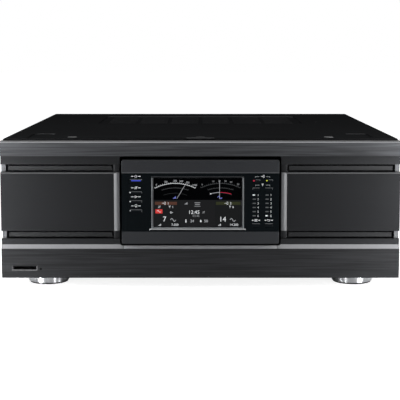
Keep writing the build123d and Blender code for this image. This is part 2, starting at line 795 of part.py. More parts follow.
insulator_y = rear_y + socket_reach - insulator_set_back
with BuildPart() as socket_insulators:
    with BuildSketch(facing(socket_back_y)) as insulator_rings:
        with Locations(*socket_places):
            Circle(insulator_radius)
            Circle(contact_radius, mode=Mode.SUBTRACT)
    extrude(amount=-(insulator_y - socket_back_y))
keep(socket_insulators, "socket_insulators")

# Plated contacts: the sockets' centre cups and the mains inlet's three blades
inlet_floor_y = rear_y + 3 - inlet_depth
blade_upright_places = [(inlet_place[0] + x, inlet_place[1] + 3) for x in (-7, 7)]
with BuildPart() as rear_contacts:
    with BuildSketch(facing(socket_back_y - 5)) as contact_rods:
        with Locations(*socket_places):
            Circle(contact_radius)
    extrude(amount=-(insulator_y - socket_back_y + 5))
    with BuildSketch(facing(insulator_y)) as contact_cups:
        with Locations(*socket_places):
            Circle(contact_bore)
    extrude(amount=contact_depth, mode=Mode.SUBTRACT)
    with BuildSketch(facing(inlet_floor_y)) as inlet_blades:
        with Locations(*blade_upright_places):
            Rectangle(2, 7)
        with Locations((inlet_place[0], inlet_place[1] - 5)):
            Rectangle(7, 2)
    extrude(amount=-(inlet_depth - 3))
keep(rear_contacts, "rear_contacts")

# Earth terminal: a stud through the panel, with a nut inside and a washer and a nut outside
ground_thread = 14.0
with BuildPart() as ground_terminal:
    with BuildSketch(facing(inner_rear_y - 5)) as ground_stud:
        with Locations(ground_place):
            Circle(contact_radius)
    extrude(amount=-(5 + rear_sheet + ground_thread))
    with BuildSketch(facing(inner_rear_y - 4)) as inner_nut:
        with Locations(ground_place):
            RegularPolygon(5.5, 6)
    extrude(amount=-4)
    with BuildSketch(facing(rear_y)) as ground_washer:
        with Locations(ground_place):
            Circle(7)
    extrude(amount=-1.2)
    with BuildSketch(facing(rear_y + 1.2)) as outer_nut:
        with Locations(ground_place):
            RegularPolygon(5.5, 6)
    extrude(amount=-4.5)
keep(ground_terminal, "ground_terminal")

# Mains inlet
with BuildPart() as mains_inlet:
    with BuildSketch(facing(rear_y)) as inlet_flange:
        with Locations(inlet_place):
            RectangleRounded(inlet_body[0] + 24, inlet_body[1] + 4, 3)
    extrude(amount=-3)
    with BuildSketch(facing(rear_y)) as inlet_shell:
        with Locations(inlet_place):
            Rectangle(*inlet_body)
    extrude(amount=inlet_depth)
    with BuildSketch(facing(rear_y + 3)) as inlet_cavity:
        with Locations(inlet_place):
            RectangleRounded(*inlet_hollow, 3)
    extrude(amount=inlet_depth, mode=Mode.SUBTRACT)
keep(mains_inlet, "mains_inlet")

# Main switch
switch_bezel = (24.0, 31.0)
switch_bezel_thickness = 2.0
rocker_width = 15.0
half_rocker = 10.5
rocker_gap = 0.4
rocker_pivot_y = rear_y - 4.0
rocker_tilt = 12.0  # degrees either side of level
rocker_saddle = 6.6  # pivot to the face's middle
rocker_tip = rocker_saddle + half_rocker * tan(radians(rocker_tilt))
rocker_pin_radius = 1.5
well_half = half_rocker + 2.2
rocker_axis = Plane(
    origin=(switch_place[0], rocker_pivot_y, switch_place[1]),
    x_dir=(0, cos(radians(rocker_tilt)), sin(radians(rocker_tilt))),
    z_dir=(1, 0, 0),
)

with BuildPart() as switch_frame:
    with BuildSketch(facing(rear_y)) as switch_flange:
        with Locations(switch_place):
            RectangleRounded(*switch_bezel, 2)
    extrude(amount=-switch_bezel_thickness)
    with BuildSketch(facing(rear_y)) as switch_body:
        with Locations(switch_place):
            Rectangle(*switch_cut)
    extrude(amount=20)
    with BuildSketch(facing(rear_y + switch_bezel_thickness)) as switch_well:
        with Locations(switch_place):
            Rectangle(rocker_width + 2 * rocker_gap, 2 * well_half)
    extrude(amount=18, mode=Mode.SUBTRACT)
    with BuildSketch(rocker_axis) as rocker_pin:
        Circle(rocker_pin_radius - bearing_clearance)
    extrude(amount=rocker_width / 2 + rocker_gap, both=True)
keep(switch_frame, "switch_frame")

with BuildPart() as switch_rocker:
    with BuildSketch(rocker_axis) as rocker_side:
        with BuildLine():
            Polyline(
                (rocker_saddle, 0),
                (rocker_tip, half_rocker),
                (-1, half_rocker),
                (-4, 0),
                (-1, -half_rocker),
                (rocker_tip, -half_rocker),
                close=True,
            )
        make_face()
        Circle(rocker_pin_radius, mode=Mode.SUBTRACT)
    extrude(amount=rocker_width / 2, both=True)
keep(switch_rocker, "switch_rocker")

# Control sockets: four round ones, a network socket and two miniature jacks
with BuildPart() as round_sockets:
    with BuildSketch(facing(inner_rear_y - 12)) as round_bodies:
        with Locations(*round_places):
            Circle(round_radius)
    extrude(amount=-(12 + rear_sheet))
    with BuildSketch(facing(rear_y)) as round_flanges:
        with Locations(*round_places):
            Circle(round_flange_radius)
    extrude(amount=-1.5)
    with BuildSketch(facing(rear_y + 1.5)) as shell_grooves:
        with Locations(*round_places):
            Circle(6.8)
            Circle(5.7, mode=Mode.SUBTRACT)
    extrude(amount=8, mode=Mode.SUBTRACT)
keep(round_sockets, "round_sockets")

with BuildPart() as lan_socket:
    with BuildSketch(facing(inner_rear_y - 14)) as lan_body:
        with Locations(lan_place):
            Rectangle(*lan_body_size)
    extrude(amount=-(14 + rear_sheet + 0.8))
    with BuildSketch(facing(rear_y + 0.8)) as lan_opening:
        with Locations(lan_place):
            Rectangle(*lan_mouth)
    extrude(amount=13, mode=Mode.SUBTRACT)
keep(lan_socket, "lan_socket")

with BuildPart() as mini_jacks:
    with BuildSketch(facing(inner_rear_y - 13)) as jack_bodies:
        with Locations(*jack_places):
            Circle(jack_radius)
    extrude(amount=-(13 + rear_sheet + 1.5))
    with BuildSketch(facing(rear_y + 1.5)) as jack_bores:
        with Locations(*jack_places):
            Circle(1.8)
    extrude(amount=14, mode=Mode.SUBTRACT)
keep(mini_jacks, "mini_jacks")

# ---------------------------------------------------------------- fans

fan_front_y = inner_rear_y - fan_thickness
duct_radius = fan_size / 2 - 2
blade_tip = duct_radius - 2.4
hub_radius = 16.0
shaft_radius = 1.5
rotor_front_y = fan_front_y + 1.5
rotor_back_y = fan_front_y + 18.5
stator_y = fan_front_y + 20
stator_back_y = inner_rear_y - 1

with BuildPart() as fan_frames:
    with BuildSketch(facing(fan_front_y)) as fan_squares:
        with Locations(*fan_places):
            RectangleRounded(fan_size, fan_size, 3)
            Circle(duct_radius, mode=Mode.SUBTRACT)
    extrude(amount=-fan_thickness)
    with BuildSketch(facing(stator_y)) as stators:
        with Locations(*fan_places):
            Circle(hub_radius)
            Rectangle(2 * duct_radius + 1, 4, rotation=30)
            Rectangle(2 * duct_radius + 1, 4, rotation=-30)
            Circle(shaft_radius + bearing_clearance, mode=Mode.SUBTRACT)
    extrude(amount=-(stator_back_y - stator_y))
keep(fan_frames, "fan_frames")

# Blade sections: distance from the axis, pitch in degrees, chord
blade_thickness = 1.4
blade_sections = [(hub_radius - 1, 42, 13), (0.5 * (hub_radius + blade_tip), 31, 17), (blade_tip, 24, 20)]


def fan_rotor(x, z):
    """A cup-shaped hub with twisted blades, on a shaft that turns in the stator's bearing."""
    middle_y = (rotor_front_y + rotor_back_y) / 2
    with BuildPart() as rotor:
        with BuildSketch(facing(rotor_front_y)) as hub:
            with Locations((x, z)):
                Circle(hub_radius)
        extrude(amount=-(rotor_back_y - rotor_front_y))
        with BuildSketch(facing(rotor_back_y)) as shaft:
            with Locations((x, z)):
                Circle(shaft_radius)
        extrude(amount=-(stator_back_y - rotor_back_y))
        for blade in range(fan_blades):
            turn = radians(360 * blade / fan_blades)
            for reach, pitch, chord in blade_sections:
                middle = (x + cos(turn) * reach, middle_y, z + sin(turn) * reach)
                lean = radians(pitch)
                along = (-sin(turn) * cos(lean), sin(lean), cos(turn) * cos(lean))
                with BuildSketch(Plane(origin=middle, x_dir=along, z_dir=(cos(turn), 0, sin(turn)))):
                    Rectangle(chord, blade_thickness)
            loft(ruled=True)
    return rotor


for rotor_name, fan_place in zip(("fan_rotor_inner", "fan_rotor_outer"), fan_places):
    keep(fan_rotor(*fan_place), rotor_name)

# ---------------------------------------------------------------- inside: radio-frequency half

inner_margin = 24.0
sink_left = 14.0
sink_right = half_cover - inner_margin
sink_middle_x = (sink_left + sink_right) / 2
sink_front_y = brow_y + 0.25 * body_depth
sink_back_y = fan_front_y - 12
sink_middle_y = (sink_front_y + sink_back_y) / 2
sink_base = 8.0
sink_bottom_z = base_z + 64
sink_top_z = sink_bottom_z + sink_base
fin_count = 18
fin_thickness = 2.4
fin_depth = 52.0
fin_pitch = (sink_right - sink_left - 16) / (fin_count - 1)
leg_thickness = 4.0

with BuildPart() as heat_sink:
    with BuildSketch(facing(sink_front_y)) as sink_section:
        with Locations((sink_middle_x, sink_bottom_z + sink_base / 2)):
            Rectangle(sink_right - sink_left, sink_base)
        with Locations((sink_middle_x, sink_bottom_z - fin_depth / 2)):
            with GridLocations(fin_pitch, 0, fin_count, 1):
                Rectangle(fin_thickness, fin_depth)
        with Locations((sink_middle_x, (floor_z + sink_bottom_z) / 2)):
            with GridLocations(sink_right - sink_left - leg_thickness, 0, 2, 1):
                Rectangle(leg_thickness, sink_bottom_z - floor_z)
    extrude(amount=-(sink_back_y - sink_front_y))
keep(heat_sink, "heat_sink")

stage_pitch = 90.0
with BuildPart() as amplifier_board:
    with BuildSketch(Plane.XY.offset(sink_top_z)) as amplifier_outline:
        with Locations((sink_middle_x, sink_middle_y)):
            Rectangle(150, 200)
            with GridLocations(0, stage_pitch, 1, 2):
                Rectangle(11, 35, mode=Mode.SUBTRACT)
    extrude(amount=board_thickness)
keep(amplifier_board, "amplifier_board")

with BuildPart() as power_transistors:
    with BuildSketch(Plane.XY.offset(sink_top_z)) as transistor_flanges:
        with Locations((sink_middle_x, sink_middle_y)):
            with GridLocations(0, stage_pitch, 1, 2):
                Rectangle(10, 34)
    extrude(amount=1.6)
    with BuildSketch(Plane.XY.offset(sink_top_z + 1.6)) as transistor_caps:
        with Locations((sink_middle_x, sink_middle_y)):
            with GridLocations(0, stage_pitch, 1, 2):
                Rectangle(10, 24)
    extrude(amount=2.6)
keep(power_transistors, "power_transistors")

board_top_z = sink_top_z + board_thickness
core_radius = 8.0
core_length = 34.0
with BuildPart() as output_transformers:
    for stage in (-0.5, 0.5):
        with BuildSketch(facing(sink_middle_y + stage * stage_pitch - core_length / 2)) as core_pair:
            with Locations((sink_middle_x + 38, board_top_z + core_radius)):
                with GridLocations(2 * core_radius, 0, 2, 1):
                    Circle(core_radius)
                    Circle(3.5, mode=Mode.SUBTRACT)
        extrude(amount=-core_length)
keep(output_transformers, "output_transformers")

# ---------------------------------------------------------------- inside: supply half

wall_x = 5.0
wall_front_y = bay_back_y + sheet + 12
wall_back_y = fan_front_y - 6
wall_height = 130.0
with BuildPart() as centre_wall:
    with BuildSketch(facing(wall_front_y)) as wall_section:
        with Locations((wall_x - sheet / 2, floor_z + wall_height / 2)):
            Rectangle(sheet, wall_height)
        with Locations((wall_x - 5, floor_z + sheet / 2)):
            Rectangle(10, sheet)
    extrude(amount=-(wall_back_y - wall_front_y))
keep(centre_wall, "centre_wall")

bench_left = -half_cover + inner_margin
bench_right = wall_x - 20.0
bench_width = bench_right - bench_left
bench_x = (bench_left + bench_right) / 2
supply_length = 0.4 * body_depth
supply_y = wall_front_y + supply_length / 2
supply_height = 62.0
supply_sheet = 1.5
with BuildPart() as power_supply:
    with BuildSketch(Plane.XY.offset(floor_z)) as supply_outline:
        with Locations((bench_x, supply_y)):
            RectangleRounded(bench_width, supply_length, 2)
    extrude(amount=supply_height)
    with BuildSketch(Plane.XY.offset(floor_z)) as supply_inside:
        with Locations((bench_x, supply_y)):
            Rectangle(bench_width - 2 * supply_sheet, supply_length - 2 * supply_sheet)
    extrude(amount=supply_height - supply_sheet, mode=Mode.SUBTRACT)
    with BuildSketch(Plane.XY.offset(floor_z + supply_height)) as supply_vents:
        with Locations((bench_x, supply_y)):
            with GridLocations(12, 0.35 * supply_length, 11, 2):
                Rectangle(3, 0.25 * supply_length)
    extrude(amount=-supply_sheet, mode=Mode.SUBTRACT)
keep(power_supply, "power_supply")

control_z = floor_z + supply_height + 14
control_size = (bench_width - 12, 0.7 * supply_length)
with BuildPart() as control_board:
    with BuildSketch(Plane.XY.offset(control_z)) as control_outline:
        with Locations((bench_x, supply_y)):
            Rectangle(*control_size)
    extrude(amount=board_thickness)
keep(control_board, "control_board")

filter_size = (bench_width, 0.33 * body_depth)
filter_y = inner_rear_y - 26 - filter_size[1] / 2
filter_z = floor_z + 12
tuner_z = floor_z + 74
with BuildPart() as filter_board:
    with BuildSketch(Plane.XY.offset(filter_z)) as filter_outline:
        with Locations((bench_x, filter_y)):
            Rectangle(*filter_size)
    extrude(amount=board_thickness)
keep(filter_board, "filter_board")

coil_radius = 15.0
coil_hole_radius = 7.0
coil_height = 9.0
with BuildPart() as filter_coils:
    with BuildSketch(Plane.XY.offset(filter_z + board_thickness)) as coil_rings:
        with Locations((bench_x, filter_y)):
            with GridLocations(52, 44, 3, 2):
                Circle(coil_radius)
                Circle(coil_hole_radius, mode=Mode.SUBTRACT)
    extrude(amount=coil_height)
keep(filter_coils, "filter_coils")

with BuildPart() as tuner_board:
    with BuildSketch(Plane.XY.offset(tuner_z)) as tuner_outline:
        with Locations((bench_x, filter_y)):
            Rectangle(*filter_size)
    extrude(amount=board_thickness)
keep(tuner_board, "tuner_board")

tuner_top_z = tuner_z + board_thickness
tuner_coil_radius = 14.0
with BuildPart() as tuner_coils:
    with BuildSketch(Plane.YZ.offset(bench_x - 76)) as coil_ends:
        with Locations((filter_y, tuner_top_z + tuner_coil_radius)):
            with GridLocations(40, 0, 3, 1):
                Circle(tuner_coil_radius)
                Circle(tuner_coil_radius - 3, mode=Mode.SUBTRACT)
    extrude(amount=56)
keep(tuner_coils, "tuner_coils")

with BuildPart() as tuner_relays:
    with BuildSketch(Plane.XY.offset(tuner_top_z)) as relay_outlines:
        with Locations((bench_x + 28, filter_y)):
            with GridLocations(22, 30, 4, 4):
                Rectangle(13, 24)
    extrude(amount=16)
keep(tuner_relays, "tuner_relays")

spacer_radius = 3.0
spacer_inset = 6.0
filter_spacers = (filter_size[0] - 2 * spacer_inset, filter_size[1] - 2 * spacer_inset)
control_spacers = (control_size[0] - 2 * spacer_inset, control_size[1] - 2 * spacer_inset)
with BuildPart() as board_spacers:
    for bottom, top in ((floor_z, filter_z), (filter_z + board_thickness, tuner_z)):
        with BuildSketch(Plane.XY.offset(bottom)) as filter_pillars:
            with Locations((bench_x, filter_y)):
                with GridLocations(*filter_spacers, 2, 2):
                    RegularPolygon(spacer_radius, 6)
        extrude(amount=top - bottom)
    with BuildSketch(Plane.XY.offset(floor_z + supply_height)) as control_pillars:
        with Locations((bench_x, supply_y)):
            with GridLocations(*control_spacers, 2, 2):
                RegularPolygon(spacer_radius, 6)
    extrude(amount=control_z - floor_z - supply_height)
keep(board_spacers, "board_spacers")
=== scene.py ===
"""Looks of a wide desk-top HF linear amplifier with a lift-out control head.

Metres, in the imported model's own frame: X to the user's right, Y from the front to the rear, Z up.
Sizes in the classes below are millimetres, as a workshop drawing has them.
"""

import logging
import math
from dataclasses import dataclass
from enum import Enum
from typing import Iterable, Sequence

import bmesh
import bpy
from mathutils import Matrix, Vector


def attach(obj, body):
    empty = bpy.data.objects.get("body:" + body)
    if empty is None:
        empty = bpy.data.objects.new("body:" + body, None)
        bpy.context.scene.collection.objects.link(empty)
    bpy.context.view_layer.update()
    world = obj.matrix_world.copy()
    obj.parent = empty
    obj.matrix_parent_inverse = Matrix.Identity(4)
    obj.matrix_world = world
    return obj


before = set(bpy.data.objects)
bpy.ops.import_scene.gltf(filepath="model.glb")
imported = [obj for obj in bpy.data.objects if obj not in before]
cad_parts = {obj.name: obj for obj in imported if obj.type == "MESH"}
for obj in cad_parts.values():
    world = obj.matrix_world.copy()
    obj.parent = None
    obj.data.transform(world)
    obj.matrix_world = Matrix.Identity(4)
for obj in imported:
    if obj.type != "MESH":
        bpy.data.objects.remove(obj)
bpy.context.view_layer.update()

log = logging.getLogger("linear_amplifier")

MM = 0.001
FAR = 1.0e6  # mm, beyond every piece
Colour = tuple[float, float, float]
Point2 = tuple[float, float]
Point3 = tuple[float, float, float]
Spot = tuple[Vector, Vector]  # a point in metres and the direction it faces
Socket = bpy.types.NodeSocket
Outputs = bpy.types.NodeOutputs
Results = tuple[Socket, ...]

BLACK = (0.0, 0.0, 0.0)
WHITE = (1.0, 1.0, 1.0)
SIDES = (-1, 1)
CORNERS = tuple((u, v) for u in SIDES for v in SIDES)


class Body(str, Enum):
    """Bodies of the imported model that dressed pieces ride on."""

    CASE = "case"
    HEAD = "head"
    POWER_KEY = "power_key"
    TUNER_KEY = "tuner_key"
    AMPLIFIER_KEY = "amplifier_key"
    PROTECTION_KEY = "protection_key"
    INPUT_KEY_1 = "input_key_1"
    INPUT_KEY_2 = "input_key_2"
    ANTENNA_KEY_1 = "antenna_key_1"
    ANTENNA_KEY_2 = "antenna_key_2"
    MENU_KEY = "menu_key"
    BACK_KEY = "back_key"
    ROCKER = "switch_rocker"


class Grain(Enum):
    """Direction of a brushed grain, as stretch factors along X, Y and Z."""

    ALONG_X = (6.0, 1600.0, 1600.0)
    ALONG_Y = (1600.0, 6.0, 1600.0)
    ALONG_Z = (1600.0, 1600.0, 6.0)


# ---- node tools


class Graph:
    """A node tree with short ways to add nodes and join them."""

    def __init__(self, tree: bpy.types.NodeTree) -> None:
        """Works on an existing tree."""
        self.tree = tree

    def node(self, kind: str, inputs: dict | None = None, **settings: object) -> bpy.types.Node:
        """Adds a node.

        Args:
            kind: Blender's type name of the node.
            inputs: Values or sockets for its inputs, by name or index.
            settings: Other properties of the node.

        Returns:
            The new node.
        """
        made = self.tree.nodes.new(kind)
        for name, value in settings.items():
            setattr(made, name, value)
        for key, value in (inputs or {}).items():
            if isinstance(value, bpy.types.NodeSocket):
                self.tree.links.new(value, made.inputs[key])
            else:
                made.inputs[key].default_value = value
        return made

    def result(self, kind: str, inputs: dict | None = None, **settings: object) -> Socket:
        """The first result of a new node."""
        return self.node(kind, inputs, **settings).outputs[0]

    def join(self, source: Socket, target: Socket) -> None:
        """Links an output to an input."""
        self.tree.links.new(source, target)

    def math(self, operation: str, first: object, second: object = 0.0) -> Socket:
        """A math node's result; each operand is a number or a socket."""
        return self.result("ShaderNodeMath", {0: first, 1: second}, operation=operation)

    def plus(self, first: object, second: object) -> Socket:
        """A sum."""
        return self.math("ADD", first, second)

    def times(self, first: object, second: object) -> Socket:
        """A product; of two masks it is the part where they meet."""
        return self.math("MULTIPLY", first, second)

    def above(self, value: Socket, limit: object) -> Socket:
        """1 where a value is greater than a limit, 0 elsewhere."""
        return self.math("GREATER_THAN", value, limit)

    def below(self, value: Socket, limit: object) -> Socket:
        """1 where a value is less than a limit, 0 elsewhere."""
        return self.math("LESS_THAN", value, limit)

    def within(self, value: Socket, low: object, high: object) -> Socket:
        """1 where a value lies between two limits, 0 elsewhere."""
        return self.times(self.above(value, low), self.below(value, high))

    def vector(self, x: object = 0.0, y: object = 0.0, z: object = 0.0) -> Socket:
        """A vector from its three parts."""
        return self.result("ShaderNodeCombineXYZ", {0: x, 1: y, 2: z})

    def part(self, vector: Socket, axis: int) -> Socket:
        """One part of a vector: 0 is X, 1 is Y and 2 is Z."""
        return self.node("ShaderNodeSeparateXYZ", {0: vector}).outputs[axis]

    def scaled(self, vector: Socket, factors: object) -> Socket:
        """A vector multiplied by three factors or by another vector."""
        return self.result("ShaderNodeVectorMath", {0: vector, 1: factors}, operation="MULTIPLY")

    def square(self, first: object, second: object) -> Socket:
        """The direction that is square to two others."""
        return self.result("ShaderNodeVectorMath", {0: first, 1: second}, operation="CROSS_PRODUCT")

    def spot(self) -> Socket:
        """A point's place on the model, in metres."""
        return self.node("ShaderNodeTexCoord").outputs["Object"]

    def place(self, axis: int) -> Socket:
        """One part of a point's place on the model, in metres."""
        return self.part(self.spot(), axis)

    def normal(self) -> Socket:
        """The direction that a smooth surface looks in."""
        return self.node("ShaderNodeNewGeometry").outputs["Normal"]

    def lean(self, axis: int) -> Socket:
        """One part of the direction that a flat face looks in."""
        return self.part(self.node("ShaderNodeNewGeometry").outputs["True Normal"], axis)

    def noise(self, vector: Socket, scale: object, detail: object = 3.0) -> Socket:
        """Soft noise from 0 to 1 at a scale per metre."""
        return self.result("ShaderNodeTexNoise", {"Vector": vector, "Scale": scale, "Detail": detail})

    def cells(self, scale: object, **settings: object) -> Socket:
        """Distance from the middles of scattered cells."""
        return self.result("ShaderNodeTexVoronoi", {"Vector": self.spot(), "Scale": scale}, **settings)

    def spread(self, value: Socket, low: float, high: float, to_low: float = 0.0,
               to_high: float = 1.0) -> Socket:
        """Maps a range of values to another, clamped."""
        limits = {"Value": value, "From Min": low, "From Max": high, "To Min": to_low, "To Max": to_high}
        return self.result("ShaderNodeMapRange", limits)

    def blend(self, factor: Socket, first: object, second: object) -> Socket:
        """Mixes two colours, each a socket or three numbers, by a factor."""
        sides = [(*side, 1.0) if isinstance(side, tuple) else side for side in (first, second)]
        return self.node("ShaderNodeMix", {0: factor, 6: sides[0], 7: sides[1]}, data_type="RGBA").outputs[2]


def shade(colour: Colour, factor: float) -> Colour:
    """A colour made lighter or darker by a factor."""
    return tuple(min(1.0, part * factor) for part in colour)


# ---- shared effects


class ShaderEffect:
    """A shader node group that more than one material uses. Subclasses lay its nodes."""

    name = ""
    inputs: dict[str, object] = {}
    outputs: tuple[str, ...] = ()

    @classmethod
    def tree(cls) -> bpy.types.NodeTree:
        """The node group, built on first use.

        Returns:
            The node group.
        """
        found = bpy.data.node_groups.get(cls.name)
        if found:
            return found
        tree = bpy.data.node_groups.new(cls.name, "ShaderNodeTree")
        for name, value in cls.inputs.items():
            kind = "NodeSocketVector" if isinstance(value, tuple) else "NodeSocketFloat"
            socket = tree.interface.new_socket(name=name, in_out="INPUT", socket_type=kind)
            socket.default_value = value
        for name in cls.outputs:
            tree.interface.new_socket(name=name, in_out="OUTPUT", socket_type="NodeSocketFloat")
        graph = Graph(tree)
        results = cls.lay(graph, graph.node("NodeGroupInput").outputs)
        leaving = graph.node("NodeGroupOutput")
        for name, result in zip(cls.outputs, results):
            graph.join(result, leaving.inputs[name])
        return tree

    @staticmethod
    def lay(graph: Graph, given: Outputs) -> Results:
        """Lays the nodes from the given inputs, and returns a result for each output."""
        raise NotImplementedError


class BrushedGrain(ShaderEffect):
    """Straight brushed grain: a tone and a height that vary over the surface."""

    name = "Brushed grain"
    inputs = {"Stretch": Grain.ALONG_X.value, "Streak": 0.5}
    outputs = ("Tone", "Height")

    @staticmethod
    def lay(graph: Graph, given: Outputs) -> Results:
        """Lays fine lines over broader ones.

        Args:
            graph: Graph of the group.
            given: The group's inputs by name.

        Returns:
            The tone and the height.
        """
        place = graph.scaled(graph.spot(), given["Stretch"])
        fine = graph.noise(place, 1.0, 4.0)
        broad = graph.noise(graph.scaled(place, (0.2, 0.2, 0.2)), 1.0, 2.0)
        tone = graph.plus(graph.times(fine, 0.45), graph.times(broad, 0.55))
        streaks = graph.times(graph.math("SUBTRACT", tone, 0.5), given["Streak"])
        return graph.plus(streaks, 0.5), fine


class PebbledGrain(ShaderEffect):
    """Fine pebbled texture of paint or a moulding, with slow colour drift."""

    name = "Pebbled grain"
    inputs = {"Size": 1400.0, "Drift": 9.0}
    outputs = ("Tone", "Height")

    @staticmethod
    def lay(graph: Graph, given: Outputs) -> Results:
        """Lays pebbles, soft grain and drift.

        Args:
            graph: Graph of the group.
            given: The group's inputs by name.

        Returns:
            The tone and the height.
        """
        soft = graph.noise(graph.spot(), given["Size"], 2.0)
        drift = graph.noise(graph.spot(), given["Drift"], 4.0)
        height = graph.plus(graph.times(graph.cells(given["Size"]), 0.6), graph.times(soft, 0.7))
        return graph.plus(graph.times(drift, 0.7), graph.times(soft, 0.3)), height


class HandlingMarks(ShaderEffect):
    """Faint wipe marks and settled dust, as masks from 0 to 1."""

    name = "Handling marks"
    inputs = {"Wipes": 0.3, "Dust": 0.2}
    outputs = ("Wipe", "Dust")

    @staticmethod
    def lay(graph: Graph, given: Outputs) -> Results:
        """Lays long wipes, and specks on what looks up.

        Args:
            graph: Graph of the group.
            given: The group's inputs by name.

        Returns:
            The two masks.
        """
        long = graph.noise(graph.scaled(graph.spot(), (14.0, 30.0, 22.0)), 1.0, 5.0)
        level = graph.spread(graph.part(graph.normal(), 2), 0.6, 1.0)
        specks = graph.times(graph.spread(graph.noise(graph.spot(), 900.0, 6.0), 0.52, 0.72), level)
        return graph.times(graph.spread(long, 0.45, 0.75), given["Wipes"]), graph.times(specks, given["Dust"])


class CloudyTone(ShaderEffect):
    """Soft uneven tone, drawn out along an axis where it is stretched."""

    name = "Cloudy tone"
    inputs = {"Stretch": (1.0, 1.0, 1.0), "Scale": 60.0, "Detail": 3.0}
    outputs = ("Tone",)

    @staticmethod
    def lay(graph: Graph, given: Outputs) -> Results:
        """Lays the clouds."""
        return (graph.noise(graph.scaled(graph.spot(), given["Stretch"]), given["Scale"], given["Detail"]),)


class WireTurns(ShaderEffect):
    """Close turns of wire."""

    name = "Wire turns"
    inputs = {"Stretch": (1.0, 1.0, 0.05), "Bands": 120.0, "Unevenness": 0.4}
    outputs = ("Height",)

    @staticmethod
    def lay(graph: Graph, given: Outputs) -> Results:
        """Lays slanting bands."""
        wave = {"Vector": graph.scaled(graph.spot(), given["Stretch"]), "Scale": given["Bands"],
                "Distortion": given["Unevenness"]}
        return (graph.node("ShaderNodeTexWave", wave, bands_direction="DIAGONAL").outputs[1],)


class PictureCells(ShaderEffect):
    """Fine cells that a lit picture is made of."""

    name = "Picture cells"
    inputs = {"Cells": 2200.0}
    outputs = ("Tone",)

    @staticmethod
    def lay(graph: Graph, given: Outputs) -> Results:
        """Lays the cells."""
        return (graph.cells(given["Cells"]),)


class BevelMasks(ShaderEffect):
    """Bevels of a piece that looks forwards, for a painted highlight: the slanting ones, and those that look
    up.
    """

    name = "Bevel masks"
    inputs = {"Flattest": -0.955, "Steepest": -0.3}
    outputs = ("Cut", "Upper")

    @staticmethod
    def lay(graph: Graph, given: Outputs) -> Results:
        """Lays masks from the lean of each face; bevels that look down are left out."""
        slanting = graph.within(graph.lean(1), given["Flattest"], given["Steepest"])
        return graph.times(slanting, graph.above(graph.lean(2), -0.3)), graph.above(graph.lean(2), 0.3)


class ZoneMask(ShaderEffect):
    """1 inside a box, on faces that look forwards enough, and 0 elsewhere."""

    name = "Zone mask"
    inputs = {"Low": (-1.0, -1.0, -1.0), "High": (1.0, 1.0, 1.0), "Forward": 2.0}
    outputs = ("Mask",)

    @staticmethod
    def lay(graph: Graph, given: Outputs) -> Results:
        """Compares a point's place and lean with the limits.

        Args:
            graph: Graph of the group.
            given: The group's inputs by name.

        Returns:
            The mask.
        """
        mask = graph.below(graph.lean(1), given["Forward"])
        for axis in range(3):
            low, high = (graph.part(given[name], axis) for name in ("Low", "High"))
            mask = graph.times(mask, graph.within(graph.place(axis), low, high))
        return (mask,)


# ---- finishes


class Coat(Graph):
    """The node tree of one material, with its shader."""

    def __init__(self, material: bpy.types.Material) -> None:
        """Works on a material.

        Args:
            material: The material, whose nodes are switched on.
        """
        material.use_nodes = True
        super().__init__(material.node_tree)
        self.shader = material.node_tree.nodes["Principled BSDF"]

    def fix(self, name: str, value: object) -> None:
        """Sets one of the shader's inputs."""
        self.shader.inputs[name].default_value = value

    def feed(self, name: str, result: Socket) -> None:
        """Joins a result to one of the shader's inputs."""
        self.join(result, self.shader.inputs[name])

    def effect(self, effect: type[ShaderEffect], **values: object) -> Outputs:
        """Places a shared effect with this material's own values; its results go by name."""
        return self.node("ShaderNodeGroup", values, node_tree=effect.tree()).outputs

    def cloudy(self, scale: float, detail: float, stretch: Point3 = (1.0, 1.0, 1.0)) -> Socket:
        """A soft uneven tone at a scale per metre."""
        return self.effect(CloudyTone, Stretch=stretch, Scale=scale, Detail=detail)["Tone"]

    def toned(self, factor: Socket, colour: Colour, tones: Point2) -> Socket:
        """A colour between two shades of itself."""
        return self.blend(factor, shade(colour, tones[0]), shade(colour, tones[1]))

    def relief(self, height: Socket, depth: float) -> None:
        """Feeds a relief of a real depth in metres to the shader's normal."""
        bump = {"Strength": 0.6, "Distance": depth, "Height": height}
        self.feed("Normal", self.result("ShaderNodeBump", bump))


@dataclass(frozen=True)
class Zone:
    """A part of a surface with a colour of its own, such as a rim, a line or the screw in the middle; some
    zones are painted highlights and some painted shade.

    Args:
        colour: Base colour of the zone, linear.
        x: Its limits across the case, mm.
        y: Its limits in depth, mm.
        z: Its limits in height above the desk, mm.
        forward: Its faces look forwards: the Y of their direction is below this.
    """

    colour: Colour
    x: Point2 = (-FAR, FAR)
    y: Point2 = (-FAR, FAR)
    z: Point2 = (-FAR, FAR)
    forward: float = 2.0

    def mask(self, coat: Coat) -> Socket:
        """1 inside the zone, 0 elsewhere."""
        low, high = (tuple(limits[end] * MM for limits in (self.x, self.y, self.z)) for end in (0, 1))
        return coat.effect(ZoneMask, Low=low, High=high, Forward=self.forward)["Mask"]


